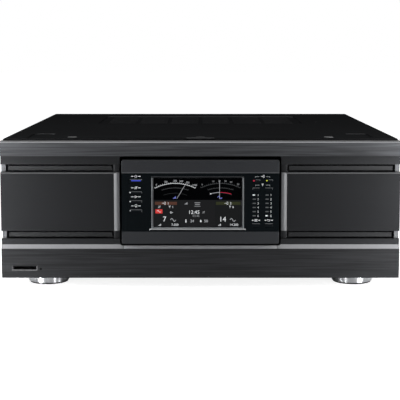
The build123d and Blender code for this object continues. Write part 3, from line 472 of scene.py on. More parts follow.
@dataclass(frozen=True)
class Finish:
    """A surface finish. Subclasses lay their own pattern over the plain shader.

    Args:
        name: Name of the material.
        colour: Base colour, linear.
        roughness: Middle roughness.
        metallic: 1 for bare metal.
        specular: Specular level of the shader.
        zone: A part of the surface with a colour of its own, which on some finishes is a painted highlight
            and on others painted shade.
        tones: Shares of the colour that the pattern lies between.
        relief: Depth of the pattern in metres.
        wipes: Strength of faint wipe marks.
        dust: How much dust has settled on level faces.
    """

    name: str
    colour: Colour
    roughness: float = 0.5
    metallic: float = 0.0
    specular: float = 0.5
    zone: Zone | None = None
    tones: Point2 = (1.0, 1.0)
    relief: float = 0.0
    wipes: float = 0.0
    dust: float = 0.0

    def material(self) -> bpy.types.Material:
        """The material of this finish, built on first use.

        Returns:
            The material.
        """
        found = bpy.data.materials.get(self.name)
        if found:
            return found
        made = bpy.data.materials.new(self.name)
        coat = Coat(made)
        made.diffuse_color = (*self.colour, 1.0)
        coat.fix("Base Color", (*self.colour, 1.0))
        coat.fix("Roughness", self.roughness)
        coat.fix("Metallic", self.metallic)
        coat.fix("Specular IOR Level", self.specular)
        self.dress(coat)
        return made

    def dress(self, coat: Coat) -> None:
        """Joins the finish's own pattern to the shader."""
        raise NotImplementedError

    def faced(self, coat: Coat, tone: Socket) -> Socket:
        """The colour that the pattern's tone gives."""
        return coat.toned(tone, self.colour, self.tones)

    def tinted(self, coat: Coat, tone: Socket) -> Socket:
        """That colour, with the zone's laid over it."""
        colour = self.faced(coat, tone)
        return coat.blend(self.zone.mask(coat), colour, self.zone.colour) if self.zone else colour


@dataclass(frozen=True)
class BrushedMetal(Finish):
    """Metal, bare or anodised, with a straight grain.

    Args:
        grain: Direction of the grain.
        streak: How far the grain changes the tone.
    """

    tones: Point2 = (0.78, 1.24)
    grain: Grain = Grain.ALONG_X
    streak: float = 0.5
    relief: float = 0.00002
    wipes: float = 0.25
    dust: float = 0.05

    def dress(self, coat: Coat) -> None:
        """Adds the grain to colour, roughness and normal.

        Args:
            coat: Node tree of the material.
        """
        grain = coat.effect(BrushedGrain, Stretch=self.grain.value, Streak=self.streak)
        marks = coat.effect(HandlingMarks, Wipes=self.wipes, Dust=self.dust)
        colour = self.tinted(coat, coat.spread(grain["Tone"], 0.2, 0.8))
        coat.feed("Base Color", coat.blend(marks["Dust"], colour, (0.3, 0.3, 0.3)))
        rough = coat.spread(grain["Tone"], 0.2, 0.8, self.roughness * 0.85, self.roughness * 1.15)
        coat.feed("Roughness", coat.plus(rough, coat.times(marks["Wipe"], 0.12)))
        coat.relief(grain["Height"], self.relief)


@dataclass(frozen=True)
class BevelledMetal(BrushedMetal):
    """Anodised metal whose bevels are painted lighter than the faces: a painted highlight where they catch
    the light.

    Args:
        bevel_colour: Base colour of the bevels that look sideways, a painted highlight, linear.
        upper_bevel_colour: Base colour of the bevels that look up, a painted highlight, linear.
        slants: Y of a bevel's direction, from the flattest to the steepest.
    """

    bevel_colour: Colour = (0.25, 0.253, 0.26)
    upper_bevel_colour: Colour = (0.062, 0.063, 0.066)
    slants: Point2 = (-0.955, -0.3)

    def tinted(self, coat: Coat, tone: Socket) -> Socket:
        """The grained face and its bevels with painted highlights; bevels that look down stay dark.

        Args:
            coat: Node tree of the material.
            tone: Tone of the grain.

        Returns:
            The colour.
        """
        masks = coat.effect(BevelMasks, Flattest=self.slants[0], Steepest=self.slants[1])
        bevels = coat.blend(masks["Upper"], self.side_bevels(coat), self.upper_bevels(coat))
        return coat.blend(masks["Cut"], self.faced(coat, tone), bevels)

    def side_bevels(self, coat: Coat) -> object:
        """The colour of the bevels that look sideways, a painted highlight."""
        return self.bevel_colour

    def upper_bevels(self, coat: Coat) -> object:
        """The colour of the bevels that look up, a painted highlight."""
        return self.upper_bevel_colour


@dataclass(frozen=True)
class PanelMetal(BevelledMetal):
    """Anodised front panel: brushed brow and band, a plainer recess between them and a bay, with painted
    shade on the band, the recess, the bay's walls and the seam under the cover, and painted highlights and
    painted light on its bevels.

    Args:
        brushed_tones: Shares of the colour that the brow's and the band's streaks lie between.
        band_share: Tone of the lower band as a share of the brow's; the darker band is painted shade.
        recess_colour: Base colour of the recess, linear; its darkness is painted shade under the brow.
        recess_tones: Shares of that colour that its grain lies between.
        bay_colour: Base colour of the bay's walls, linear; painted shade.
        ledge_colour: Base colour of the ledge's bevel, a painted highlight, linear.
        rubbed_share: Tone of the ledge under the head as a share of the rest's: painted light where the
            head's shadow falls.
        edge_colour: Base colour of the level face behind the top bevel, linear; painted shade of the seam
            under the cover.
        lip_from: Height from which the top bevel is painted as dark as that face, as painted shade, mm.
        recess: Lower and upper edge of the recess above the desk, mm.
        bay_half: Half the width of the head's bay, mm.
        rubbed_half: Half the width of that painted light under the head, mm.
        slot_high: Height above the desk below which the bevels are the card slot's, mm.
        slot_share: Tone of the card slot's bevels as a share of the others': painted shade in the slot.
    """

    brushed_tones: Point2 = (0.55, 1.5)
    band_share: float = 0.39
    recess_colour: Colour = (0.02, 0.02, 0.022)
    recess_tones: Point2 = (0.88, 1.14)
    bay_colour: Colour = (0.002, 0.002, 0.0021)
    ledge_colour: Colour = (0.145, 0.147, 0.152)
    rubbed_share: float = 2.9
    edge_colour: Colour = (0.007, 0.0071, 0.0074)
    lip_from: float = 158.6
    recess: Point2 = (48.3, 143.0)
    bay_half: float = 86.0
    rubbed_half: float = 81.5
    slot_high: float = 30.0
    slot_share: float = 0.45

    def slotted(self, coat: Coat, colour: object, bevel: Colour) -> Socket:
        """A bevel's painted highlight, darker on the bevels of the card slot as painted shade."""
        in_slot = coat.below(coat.place(2), self.slot_high * MM)
        return coat.blend(in_slot, colour, shade(bevel, self.slot_share))

    def side_bevels(self, coat: Coat) -> object:
        """Painted highlights on the bevels at the bay's sides, weaker on the card slot's, as painted shade.
        """
        return self.slotted(coat, self.bevel_colour, self.bevel_colour)

    def upper_bevels(self, coat: Coat) -> object:
        """Painted highlights on the bevel along the top edge and on the ledge's, with painted light on the
        ledge's middle where the head's shadow falls.

        Args:
            coat: Node tree of the material.

        Returns:
            The colour.
        """
        height = coat.place(2)
        # Painted light: the ledge under the head is painted brighter where the head's shadow falls on it.
        relit = coat.within(coat.place(0), -self.rubbed_half * MM, self.rubbed_half * MM)
        ledge = coat.blend(relit, self.ledge_colour, shade(self.ledge_colour, self.rubbed_share))
        ledge = self.slotted(coat, ledge, self.ledge_colour)
        # The bevel's upper lip is painted as dark as the seam's painted shade.
        lip = coat.blend(coat.above(height, self.lip_from * MM), self.upper_bevel_colour, self.edge_colour)
        return coat.blend(coat.below(height, self.recess[1] * MM), lip, ledge)

    def faced(self, coat: Coat, tone: Socket) -> Socket:
        """Grain on the brow and the band, with painted shade on the band, the recess between them, the walls
        of the bay and the level top face.

        Args:
            coat: Node tree of the material.
            tone: Tone of the grain.

        Returns:
            The colour.
        """
        height = coat.place(2)
        low, high = (edge * MM for edge in self.recess)
        inside = coat.within(height, low, high)
        long = coat.noise(coat.scaled(coat.spot(), (16.0, 1.0, 620.0)), 1.0)
        streaks = coat.plus(coat.times(tone, 0.4), coat.spread(long, 0.36, 0.64, 0.0, 0.6))
        brow = coat.toned(streaks, self.colour, self.brushed_tones)
        # The band is painted darker than the brow: painted shade.
        band = coat.toned(streaks, shade(self.colour, self.band_share), self.brushed_tones)
        brushed = coat.blend(coat.below(height, low), brow, band)
        # The recess's darker colour is painted shade under the brow.
        plain = coat.toned(tone, self.recess_colour, self.recess_tones)
        outside = coat.blend(inside, brushed, plain)
        # The bay's walls are painted nearly black: painted shade.
        walls = coat.times(coat.within(coat.place(0), -self.bay_half * MM, self.bay_half * MM),
                           coat.within(coat.lean(1), -0.3, 0.3))
        # The level top face is painted dark: painted shade of the seam under the cover.
        level = coat.above(coat.lean(2), 0.9)
        front_part = coat.blend(level, outside, self.edge_colour)
        return coat.blend(coat.times(walls, inside), front_part, self.bay_colour)


@dataclass(frozen=True)
class PaintedSheet(Finish):
    """Powder paint with a fine pebbled texture.

    Args:
        size: Pebbles per metre.
    """

    tones: Point2 = (0.85, 1.18)
    size: float = 1500.0
    relief: float = 0.00004
    wipes: float = 0.4
    dust: float = 0.1

    def dress(self, coat: Coat) -> None:
        """Adds pebbles, slow colour drift, wipe marks and dust.

        Args:
            coat: Node tree of the material.
        """
        grain = coat.effect(PebbledGrain, Size=self.size)
        marks = coat.effect(HandlingMarks, Wipes=self.wipes, Dust=self.dust)
        colour = self.tinted(coat, grain["Tone"])
        coat.feed("Base Color", coat.blend(marks["Dust"], colour, (0.22, 0.21, 0.2)))
        rough = coat.spread(grain["Tone"], 0.2, 0.8, self.roughness * 1.08, self.roughness * 0.92)
        coat.feed("Roughness", coat.math("SUBTRACT", rough, coat.times(marks["Wipe"], 0.1)))
        coat.relief(grain["Height"], self.relief)


@dataclass(frozen=True)
class MouldedPlastic(PaintedSheet):
    """Moulded plastic with a fine spark-eroded texture."""

    size: float = 2600.0
    relief: float = 0.000015
    dust: float = 0.06


@dataclass(frozen=True)
class PolishedMetal(Finish):
    """Plated or polished metal with faint turning lines.

    Args:
        turned: Lines per metre across the axis of turning.
        rings: Stretch of the lines, level round an upright axis.
    """

    metallic: float = 1.0
    tones: Point2 = (0.93, 1.05)
    turned: float = 2500.0
    rings: Point3 = (0.02, 0.02, 1.0)
    relief: float = 0.000004
    wipes: float = 0.5

    def dress(self, coat: Coat) -> None:
        """Adds fine rings, cloudy tone and smudges.

        Args:
            coat: Node tree of the material.
        """
        tone = coat.cloudy(60.0, 5.0)
        marks = coat.effect(HandlingMarks, Wipes=self.wipes, Dust=self.dust)
        coat.feed("Base Color", self.tinted(coat, tone))
        rough = coat.spread(tone, 0.3, 0.7, self.roughness * 0.8, self.roughness * 1.25)
        coat.feed("Roughness", coat.plus(rough, coat.times(marks["Wipe"], 0.08)))
        coat.relief(coat.cloudy(self.turned, 2.0, self.rings), self.relief)


@dataclass(frozen=True)
class TurnedMetal(PolishedMetal):
    """Bright metal turned on a lathe: the fine grooves draw each reflection out along the axis.

    Args:
        stretch: How far the grooves draw a reflection out, from 0 to 1.
    """

    stretch: float = 0.9

    def dress(self, coat: Coat) -> None:
        """Adds the polished metal's pattern and the direction of the grooves.

        Args:
            coat: Node tree of the material.
        """
        super().dress(coat)
        normal = coat.normal()
        coat.feed("Tangent", coat.square(coat.square(normal, (0.0, 0.0, 1.0)), normal))
        coat.fix("Anisotropic", self.stretch)


@dataclass(frozen=True)
class SmokedWindow(Finish):
    """Glossy smoked window or key cap with a few fine hairlines.

    Args:
        hairs: Stretch of the hairlines, repeats per metre.
    """

    tones: Point2 = (0.9, 1.12)
    wipes: float = 0.6
    hairs: Point3 = (40.0, 900.0, 2200.0)

    def dress(self, coat: Coat) -> None:
        """Adds hairlines and smudges to roughness and a slow drift to colour.

        Args:
            coat: Node tree of the material.
        """
        marks = coat.effect(HandlingMarks, Wipes=self.wipes, Dust=self.dust)
        coat.feed("Base Color", self.tinted(coat, coat.cloudy(25.0, 3.0)))
        hairs = coat.cloudy(1.0, 2.0, self.hairs)
        scratched = coat.spread(hairs, 0.55, 0.8, self.roughness, self.roughness * 1.6)
        coat.feed("Roughness", coat.plus(scratched, coat.times(marks["Wipe"], 0.05)))


@dataclass(frozen=True)
class SoftRubber(Finish):
    """Matt rubber with a blotchy bloom.

    Args:
        size: Grains per metre.
        drift: Blotches per metre.
    """

    tones: Point2 = (0.7, 1.5)
    size: float = 900.0
    drift: float = 120.0
    relief: float = 0.00005

    def dress(self, coat: Coat) -> None:
        """Adds the bloom to colour and a soft grain to the normal.

        Args:
            coat: Node tree of the material.
        """
        grain = coat.effect(PebbledGrain, Size=self.size, Drift=self.drift)
        coat.feed("Base Color", self.tinted(coat, grain["Tone"]))
        coat.relief(grain["Height"], self.relief)


@dataclass(frozen=True)
class CircuitBoard(Finish):
    """Solder-masked board with tracks and solder pads showing through.

    Args:
        pitch: Tracks per metre.
        pad_pitch: Pads per metre.
        pad_colour: Base colour of the pads, linear.
    """

    tones: Point2 = (0.7, 1.5)
    pitch: float = 260.0
    pad_pitch: float = 442.0
    pad_colour: Colour = (0.55, 0.54, 0.5)

    def dress(self, coat: Coat) -> None:
        """Adds tracks from two crossed patterns, and bright pads.

        Args:
            coat: Node tree of the material.
        """
        track = coat.spread(coat.cells(self.pitch, distance="MANHATTAN", feature="F1"), 0.3, 0.36)
        pad = coat.below(coat.cells(self.pad_pitch), 0.16)
        coat.feed("Base Color", coat.blend(pad, self.tinted(coat, track), self.pad_colour))
        coat.feed("Metallic", pad)
        coat.relief(track, 0.00003)


@dataclass(frozen=True)
class WoundWire(Finish):
    """Close turns of wire round a ring or a former.

    Args:
        turns: Turns per metre.
        grain: Direction that the turns run in.
    """

    tones: Point2 = (0.45, 1.15)
    turns: float = 700.0
    grain: Grain = Grain.ALONG_Z
    relief: float = 0.0002

    def dress(self, coat: Coat) -> None:
        """Adds bands of wire to colour and normal.

        Args:
            coat: Node tree of the material.
        """
        stretch = tuple(0.05 if value < 10 else 1.0 for value in self.grain.value)
        turns = coat.effect(WireTurns, Stretch=stretch, Bands=self.turns / 6.0)["Height"]
        coat.feed("Base Color", self.tinted(coat, turns))
        coat.relief(turns, self.relief)


@dataclass(frozen=True)
class Ink(Finish):
    """Printed ink with slightly uneven cover."""

    tones: Point2 = (0.86, 1.08)

    def dress(self, coat: Coat) -> None:
        """Adds thin spots to the colour."""
        coat.feed("Base Color", self.tinted(coat, coat.cloudy(3500.0, 3.0)))


@dataclass(frozen=True)
class Glow(Finish):
    """Lit part of the display or of a lamp, broken into fine picture cells.

    Args:
        strength: Brightness of the light.
        cells: Picture cells per metre, which shade the light very slightly.
        unlit: Shares of the colour that the unlit surface lies between.
    """

    specular: float = 0.0
    tones: Point2 = (1.04, 0.9)
    strength: float = 1.0
    cells: float = 2200.0
    unlit: Point2 = (0.16, 0.1)

    def dress(self, coat: Coat) -> None:
        """Adds the light's colour and its cells.

        Args:
            coat: Node tree of the material.
        """
        cell = coat.effect(PictureCells, Cells=self.cells)["Tone"]
        coat.feed("Emission Color", self.tinted(coat, cell))
        coat.feed("Base Color", coat.toned(cell, self.colour, self.unlit))
        coat.fix("Emission Strength", self.strength)


@dataclass(frozen=True)
class LampBank(Finish):
    """Diffusing lamps, of which a few are lit.

    Args:
        lit: Middles of the lit lamps, as X and Z in mm.
        reach: Half the width and height that a lit lamp covers, mm.
        light: Light of the lit lamps, linear.
    """

    tones: Point2 = (0.85, 1.1)
    lit: tuple[Point2, ...] = ()
    reach: Point2 = (2.4, 1.0)
    light: Colour = (0.5, 0.52, 0.54)

    def dress(self, coat: Coat) -> None:
        """Lights the named lamps and leaves the others grey.

        Args:
            coat: Node tree of the material.
        """
        u, v = self.reach
        lamps = [Zone(self.light, x=(x - u, x + u), z=(z - v, z + v)).mask(coat) for x, z in self.lit]
        lit = lamps[0]
        for lamp in lamps[1:]:
            lit = coat.math("MAXIMUM", lit, lamp)
        dull = self.tinted(coat, coat.noise(coat.spot(), 1800.0, 2.0))
        coat.feed("Base Color", coat.blend(lit, dull, shade(self.light, 0.5)))
        coat.feed("Emission Color", coat.blend(lit, BLACK, self.light))
        coat.fix("Emission Strength", 1.0)


# The panel's darker band, recess, bay walls and seam are painted shade; its lighter bevels are painted
# highlights, and its ledge has painted light under the head.
PANEL_BLACK = PanelMetal("panel black anodised", (0.0425, 0.044, 0.0472), 0.4, 0.6, 0.3, streak=1.0,
                         recess_colour=(0.0145, 0.0152, 0.0164), upper_bevel_colour=(0.115, 0.117, 0.122))
# The plate's lighter bevels are painted highlights.
PLATE_BLACK = BevelledMetal("plate satin black", (0.0112, 0.0117, 0.0128), 0.4, 0.6, 0.25, streak=0.3)
# The inner end caps are painted darker: painted shade.
END_METAL = BrushedMetal("cut aluminium", (0.115, 0.118, 0.124), 0.35, 0.8, grain=Grain.ALONG_Z,
                         zone=Zone((0.06, 0.061, 0.064), x=(-100.0, 100.0)))
GRILLE_BLACK = MouldedPlastic("grille moulded black", (0.0125, 0.013, 0.014), 0.5, 0.0, 0.2)
SUBFRAME_BLACK = PaintedSheet("subframe black dip", (0.006, 0.006, 0.0064), 0.7, 0.0, 0.1, dust=0.01)
ZINC_STEEL = BrushedMetal("zinc plated steel", (0.45, 0.46, 0.44), 0.4, 1.0, streak=0.6)
CARD_STEEL = BrushedMetal("card guide steel", (0.025, 0.0254, 0.0265), 0.45, 0.3, 0.15, streak=0.4)
# The light line along the window's top edge is a painted highlight.
BEZEL_GREY = MouldedPlastic("bezel satin grey", (0.0163, 0.0173, 0.0193), 0.45, 0.0, 0.14,
                            zone=Zone((0.056, 0.058, 0.061), z=(125.7, 126.5)))
WINDOW_BLACK = SmokedWindow("window smoked", (0.0021, 0.0031, 0.0038), 0.09, 0.0, 0.03)
KEY_BLACK = SmokedWindow("key cap black", (0.0026, 0.0036, 0.0044), 0.16, 0.0, 0.04)
# The darker top bar of the surround is painted shade.
FRAME_SILVER = BrushedMetal("screen surround silver", (0.42, 0.44, 0.46), 0.32, 0.9, streak=0.3,
                            zone=Zone((0.085, 0.088, 0.094), z=(120.4, FAR)))
SILL_SILVER = BrushedMetal("sill silver", (0.3, 0.305, 0.31), 0.35, 0.6, streak=0.3)
DISPLAY_BLACK = SmokedWindow("display face", (0.0006, 0.0007, 0.0009), 0.2, 0.0, 0.004)
LAMP_GREY = LampBank("lamp diffuser", (0.055, 0.057, 0.06), 0.4, 0.0, 0.3,
                     lit=((55.1, 102.4), (68.7, 80.25)))
LENS_CLEAR = MouldedPlastic("lens milky", (0.22, 0.23, 0.24), 0.25)
LENS_DARK = MouldedPlastic("lens unlit", (0.004, 0.0041, 0.0043), 0.5, 0.0, 0.0, dust=0.0)
# The lighter forward-looking walls of the cover's pressings are a painted highlight.
COVER_BLACK = PaintedSheet("cover black paint", (0.0086, 0.0088, 0.0092), 0.8, 0.0, 0.0, dust=0.004,
                           zone=Zone((0.022, 0.0223, 0.023), y=(-200.0, FAR), forward=-0.4))
CASE_BLACK = PaintedSheet("chassis black paint", (0.012, 0.0122, 0.013), 0.6, 0.0, 0.25, dust=0.02)
# The dark band at the foot's base is painted shade: the contact shadow just above the desk.
CHROME = TurnedMetal("turned bright metal", (0.66, 0.67, 0.69), 0.31,
                     zone=Zone((0.03, 0.03, 0.031), z=(-FAR, 1.7)))
COVER_SCREW = PolishedMetal("cover screw nickel", (0.115, 0.115, 0.116), 0.6, 0.0, 0.0,
                            zone=Zone((0.036, 0.0365, 0.037), x=(-20.0, 20.0)))
NICKEL = PolishedMetal("nickel plate", (0.66, 0.64, 0.6), 0.2)
STEEL_SCREW = PolishedMetal("plated screw steel", (0.5, 0.5, 0.5), 0.28)
BLACK_SCREW = MouldedPlastic("black oxide screw", (0.0095, 0.0095, 0.01), 0.6, 0.0, 0.0, dust=0.0)
BRASS_PLATE = PolishedMetal("gilt contact plate", (0.78, 0.62, 0.34), 0.22)
LEVER_BLACK = MouldedPlastic("lever moulding", (0.003, 0.003, 0.0032), 0.5, 0.0, 0.0, dust=0.0,
                             zone=Zone((0.036, 0.0365, 0.0375), z=(160.55, 162.0)))
GAUZE_BLACK = SoftRubber("intake gauze", (0.006, 0.006, 0.0065), 0.9, 0.0, 0.1)
RUBBER = SoftRubber("pad rubber", (0.018, 0.018, 0.019), 0.85, 0.0, 0.3)
BLACK_MOULDING = MouldedPlastic("connector moulding", (0.014, 0.014, 0.015), 0.5)
GLOSS_BLACK = SmokedWindow("gloss black moulding", (0.01, 0.01, 0.011), 0.22, 0.0, 0.4)
INSULATOR = MouldedPlastic("insulator resin", (0.7, 0.67, 0.58), 0.45)
BOARD_GREEN = CircuitBoard("circuit board", (0.015, 0.09, 0.045), 0.4)
SINK_METAL = BrushedMetal("extruded heat sink", (0.5, 0.51, 0.53), 0.42, 1.0, grain=Grain.ALONG_Y)
CERAMIC = MouldedPlastic("transistor ceramic", (0.72, 0.7, 0.66), 0.55)
FERRITE = MouldedPlastic("ferrite core", (0.035, 0.033, 0.032), 0.6)
COPPER_WIRE = WoundWire("enamelled copper wire", (0.55, 0.2, 0.07), 0.3, 0.8)
SILVER_WIRE = WoundWire("silvered wire", (0.72, 0.7, 0.66), 0.28, 1.0, turns=420.0, grain=Grain.ALONG_Y)
PRINT_WHITE = Ink("print white", (0.6, 0.61, 0.62), 0.6)
PRINT_LIGHT = Ink("print light", (0.42, 0.43, 0.44), 0.6)
PRINT_GREY = Ink("print grey", (0.27, 0.28, 0.29), 0.6)
PRINT_FAINT = Ink("print faint", (0.09, 0.094, 0.1), 0.6)
GLOW_WHITE = Glow("lit white", (0.66, 0.68, 0.7))
GLOW_TEXT = Glow("lit text", (0.42, 0.43, 0.45))
GLOW_SOFT = Glow("lit soft", (0.24, 0.245, 0.255))
GLOW_GREY = Glow("lit grey", (0.16, 0.165, 0.17))
GLOW_DIM = Glow("lit dim", (0.06, 0.062, 0.065))
GLOW_FAINT = Glow("lit faint", (0.028, 0.029, 0.03))
GLOW_BLUE = Glow("lit blue", (0.05, 0.075, 0.5))
GLOW_VIOLET = Glow("lit violet", (0.2, 0.23, 0.68))
GLOW_RED = Glow("lit red", (0.55, 0.045, 0.04))
GLOW_ROSE = Glow("lit rose", (0.45, 0.022, 0.055))
GLOW_LIME = Glow("lit lime", (0.55, 0.6, 0.05))
GLOW_BROWN = Glow("lit brown", (0.075, 0.034, 0.024))
GLOW_OLIVE = Glow("lit olive", (0.028, 0.031, 0.015))
GLOW_PANEL = Glow("lit panel ground", (0.0118, 0.012, 0.0128))
GLOW_CELL = Glow("lit cell ground", (0.0102, 0.0108, 0.0112))


# ---- shapes


@dataclass(frozen=True)
class Face:
    """A flat place on the case: a corner point and the directions of right and up as one looks at it.

    Args:
        origin: Point that drawings on this face are measured from, mm.
        right: Unit vector to the right.
        up: Unit vector upwards.
    """

    origin: Point3
    right: Point3 = (1.0, 0.0, 0.0)
    up: Point3 = (0.0, 0.0, 1.0)

    @property
    def out(self) -> Vector:
        """The direction that faces the viewer."""
        return Vector(self.right).cross(Vector(self.up))

    def at(self, u: float, v: float, rise: float = 0.0) -> Vector:
        """The point u to the right, v up and rise above the face, in metres."""
        place = Vector(self.origin) + u * Vector(self.right) + v * Vector(self.up) + rise * self.out
        return place * MM

    def spots(self, points: Iterable[Point2], rise: float = 0.0) -> list[Spot]:
        """Points on the face, each with the direction it faces."""
        return [(self.at(u, v, rise), self.out) for u, v in points]


def front(y: float) -> Face:
    """A face that looks forwards, at depth y; u is X and v is Z."""
    return Face((0.0, y, 0.0))


def rear(y: float) -> Face:
    """A face that looks backwards, at depth y; u is minus X and v is Z."""
    return Face((0.0, y, 0.0), (-1.0, 0.0, 0.0))


def top(z: float) -> Face:
    """A face that looks up, at height z; u is X and v is Y."""
    return Face((0.0, 0.0, z), up=(0.0, 1.0, 0.0))


def under(z: float) -> Face:
    """A face that looks down, at height z; u is X and v is minus Y."""
    return Face((0.0, 0.0, z), up=(0.0, -1.0, 0.0))


def flank(side: int, x: float) -> Face:
    """The left (-1) or right (1) face of the case, at distance x from its middle; v is Z."""
    return Face((side * x, 0.0, 0.0), (0.0, float(side), 0.0))


def arc(centre: Point2, radius: float, start: float, end: float, steps: int = 1) -> list[Point2]:
    """Points on an arc; angles in degrees from up, clockwise."""
    angles = [math.radians(start + (end - start) * i / steps) for i in range(steps + 1)]
    return [(centre[0] + radius * math.sin(a), centre[1] + radius * math.cos(a)) for a in angles]


def disc(centre: Point2, radius: float, steps: int = 16) -> list[Point2]:
    """Outline of a circle, anticlockwise."""
    angles = [math.tau * i / steps for i in range(steps)]
    return [(centre[0] + radius * math.cos(a), centre[1] + radius * math.sin(a)) for a in angles]


def box(left: float, right: float, low: float, high: float) -> list[Point2]:
    """Outline of a rectangle, anticlockwise."""
    return [(left, low), (right, low), (right, high), (left, high)]


def rounded(centre: Point2, size: Point2, radius: float, steps: int = 3) -> list[Point2]:
    """Outline of a rounded rectangle, anticlockwise.

    Args:
        centre: Its middle.
        size: Its width and height.
        radius: Radius of its corners.
        steps: Straight parts of each corner.

    Returns:
        The corner points.
    """
    half_u, half_v = size[0] / 2 - radius, size[1] / 2 - radius
    outline: list[Point2] = []
    for quarter, (su, sv) in enumerate(((1, 1), (-1, 1), (-1, -1), (1, -1))):
        u, v = centre[0] + su * half_u, centre[1] + sv * half_v
        for i in range(steps + 1):
            a = math.radians(90 * quarter + 90 * i / steps)
            outline.append((u + radius * math.cos(a), v + radius * math.sin(a)))
    return outline


def put(made: bpy.types.Object) -> None:
    """Puts an object in the scene."""
    bpy.context.scene.collection.objects.link(made)


def place_piece(mesh: bpy.types.Mesh, name: str, body: Body) -> None:
    """Makes a finished mesh a piece of the model, and reports it.

    Args:
        mesh: The mesh, in metres.
        name: Name of the piece.
        body: The body it rides on.
    """
    made = bpy.data.objects.new(name, mesh)
    put(made)
    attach(made, body.value)
    log.info("%s on %s: %d faces", name, body.value, len(mesh.polygons))


class Shape:
    """Closed solids collected for one piece, each with its own finish."""

    figure_scale = 1.37  # size of the type that gives figures of height 1
    print_rise = (0.0, 0.03)  # base and top of a print above its face, mm
    steepest_turn = 0.35  # keeps the corners of a narrow bend short

    def __init__(self) -> None:
        """Starts with nothing in it."""
        self.points: list[Vector] = []
        self.faces: list[tuple[int, ...]] = []
        self.marks: list[int] = []
        self.finishes: list[Finish] = []

    def add(self, points: Iterable[Vector], faces: Iterable[Sequence[int]], finish: Finish) -> None:
        """Adds faces on new points.

        Args:
            points: The points, in metres.
            faces: The faces, as numbers of those points.
            finish: Their finish.
        """
        start = len(self.points)
        self.points.extend(points)
        if finish not in self.finishes:
            self.finishes.append(finish)
        slot = self.finishes.index(finish)
        for corners in faces:
            self.faces.append(tuple(start + corner for corner in corners))
            self.marks.append(slot)

    def loft(self, face: Face, rings: Sequence[tuple[Sequence[Point2], float]], finish: Finish) -> None:
        """A closed solid through outlines of equal count.

        Args:
            face: The face it stands on.
            rings: Outlines, anticlockwise as one looks at the face, each with its height above it, mm.
            finish: Finish of all its sides.
        """
        count, last = len(rings[0][0]), len(rings) - 1
        points = [face.at(u, v, rise) for outline, rise in rings for u, v in outline]
        faces = [tuple(range(count - 1, -1, -1)), tuple(range(last * count, len(points)))]
        for base in range(0, last * count, count):
            faces += [(base + i, base + (i + 1) % count, base + count + (i + 1) % count, base + count + i)
                      for i in range(count)]
        self.add(points, faces, finish)

    def prism(self, face: Face, outline: Sequence[Point2], low: float, high: float, finish: Finish) -> None:
        """A straight solid between two heights above a face, on an anticlockwise outline."""
        self.loft(face, [(outline, low), (outline, high)], finish)

    def strip(self, face: Face, line: Sequence[Point2], width: float, low: float, high: float,
              finish: Finish) -> None:
        """A band of even width along a line, with its ends cut square.

        Args:
            face: The face it lies on.
            line: Points of the line; it closes where the last is the first.
            width: Width of the band, mm.
            low: Its base above the face, mm.
            high: Its top above the face, mm.
            finish: Its finish.
        """
        closed = line[0] == line[-1]
        spots = [Vector(p) for p in (line[:-1] if closed else line)]
        sides: list[tuple[Vector, Vector]] = []
        for i, spot in enumerate(spots):
            before = spots[i - 1] if closed or i else None
            after = spots[(i + 1) % len(spots)] if closed or i + 1 < len(spots) else None
            runs = [(spot - before).normalized()] if before is not None else []
            runs += [(after - spot).normalized()] if after is not None else []
            mean = sum(runs, Vector((0.0, 0.0)))
            mean = (mean if mean.length > 1e-6 else runs[0]).normalized()
            reach = width / 2 / max(self.steepest_turn, abs(mean.dot(runs[0])))
            off = Vector((-mean.y, mean.x)) * reach
            sides.append((spot + off, spot - off))
        following = sides[1:] + sides[:1] if closed else sides[1:]
        for (left, right), (next_left, next_right) in zip(sides, following):
            self.prism(face, [right, next_right, next_left, left], low, high, finish)

    def lettering(self, face: Face, text: str, centre: Point2, height: float, finish: Finish,
                  rise: Point2 = print_rise) -> None:
        """Plain figures, centred on a point of a face.

        Args:
            face: The face they lie on.
            text: The figures.
            centre: Their middle, mm.
            height: Height of a figure, mm.
            finish: Their ink or light.
            rise: Their base and top above the face, mm.
        """
        curve = bpy.data.curves.new("figures", "FONT")
        curve.body = text
        curve.size = height * self.figure_scale
        curve.align_x = "CENTER"
        curve.resolution_u = 3
        carrier = bpy.data.objects.new("figures", curve)
        put(carrier)
        depsgraph = bpy.context.evaluated_depsgraph_get()
        mesh = bpy.data.meshes.new_from_object(carrier.evaluated_get(depsgraph))
        solid = bmesh.new()
        solid.from_mesh(mesh)
        for item in bmesh.ops.extrude_face_region(solid, geom=list(solid.faces))["geom"]:
            if isinstance(item, bmesh.types.BMVert):
                item.co.z = 1.0
        bmesh.ops.recalc_face_normals(solid, faces=solid.faces)
        solid.verts.index_update()
        points = [face.at(centre[0] + v.co.x, centre[1] + v.co.y - height / 2, rise[v.co.z > 0.5])
                  for v in solid.verts]
        self.add(points, [[v.index for v in f.verts] for f in solid.faces], finish)
        solid.free()
        bpy.data.objects.remove(carrier)
        bpy.data.curves.remove(curve)
        bpy.data.meshes.remove(mesh)

    def piece(self, name: str, body: Body, slot: str) -> None:
        """Turns what was collected into a piece.

        Args:
            name: Name of the piece.
            body: The body it rides on.
            slot: Name of the piece's material slot; not used.
        """
        mesh = bpy.data.meshes.new(name)
        mesh.from_pydata([tuple(p) for p in self.points], [], self.faces)
        for finish in self.finishes:
            mesh.materials.append(finish.material())
        mesh.polygons.foreach_set("material_index", self.marks)
        mesh.update()
        place_piece(mesh, name, body)


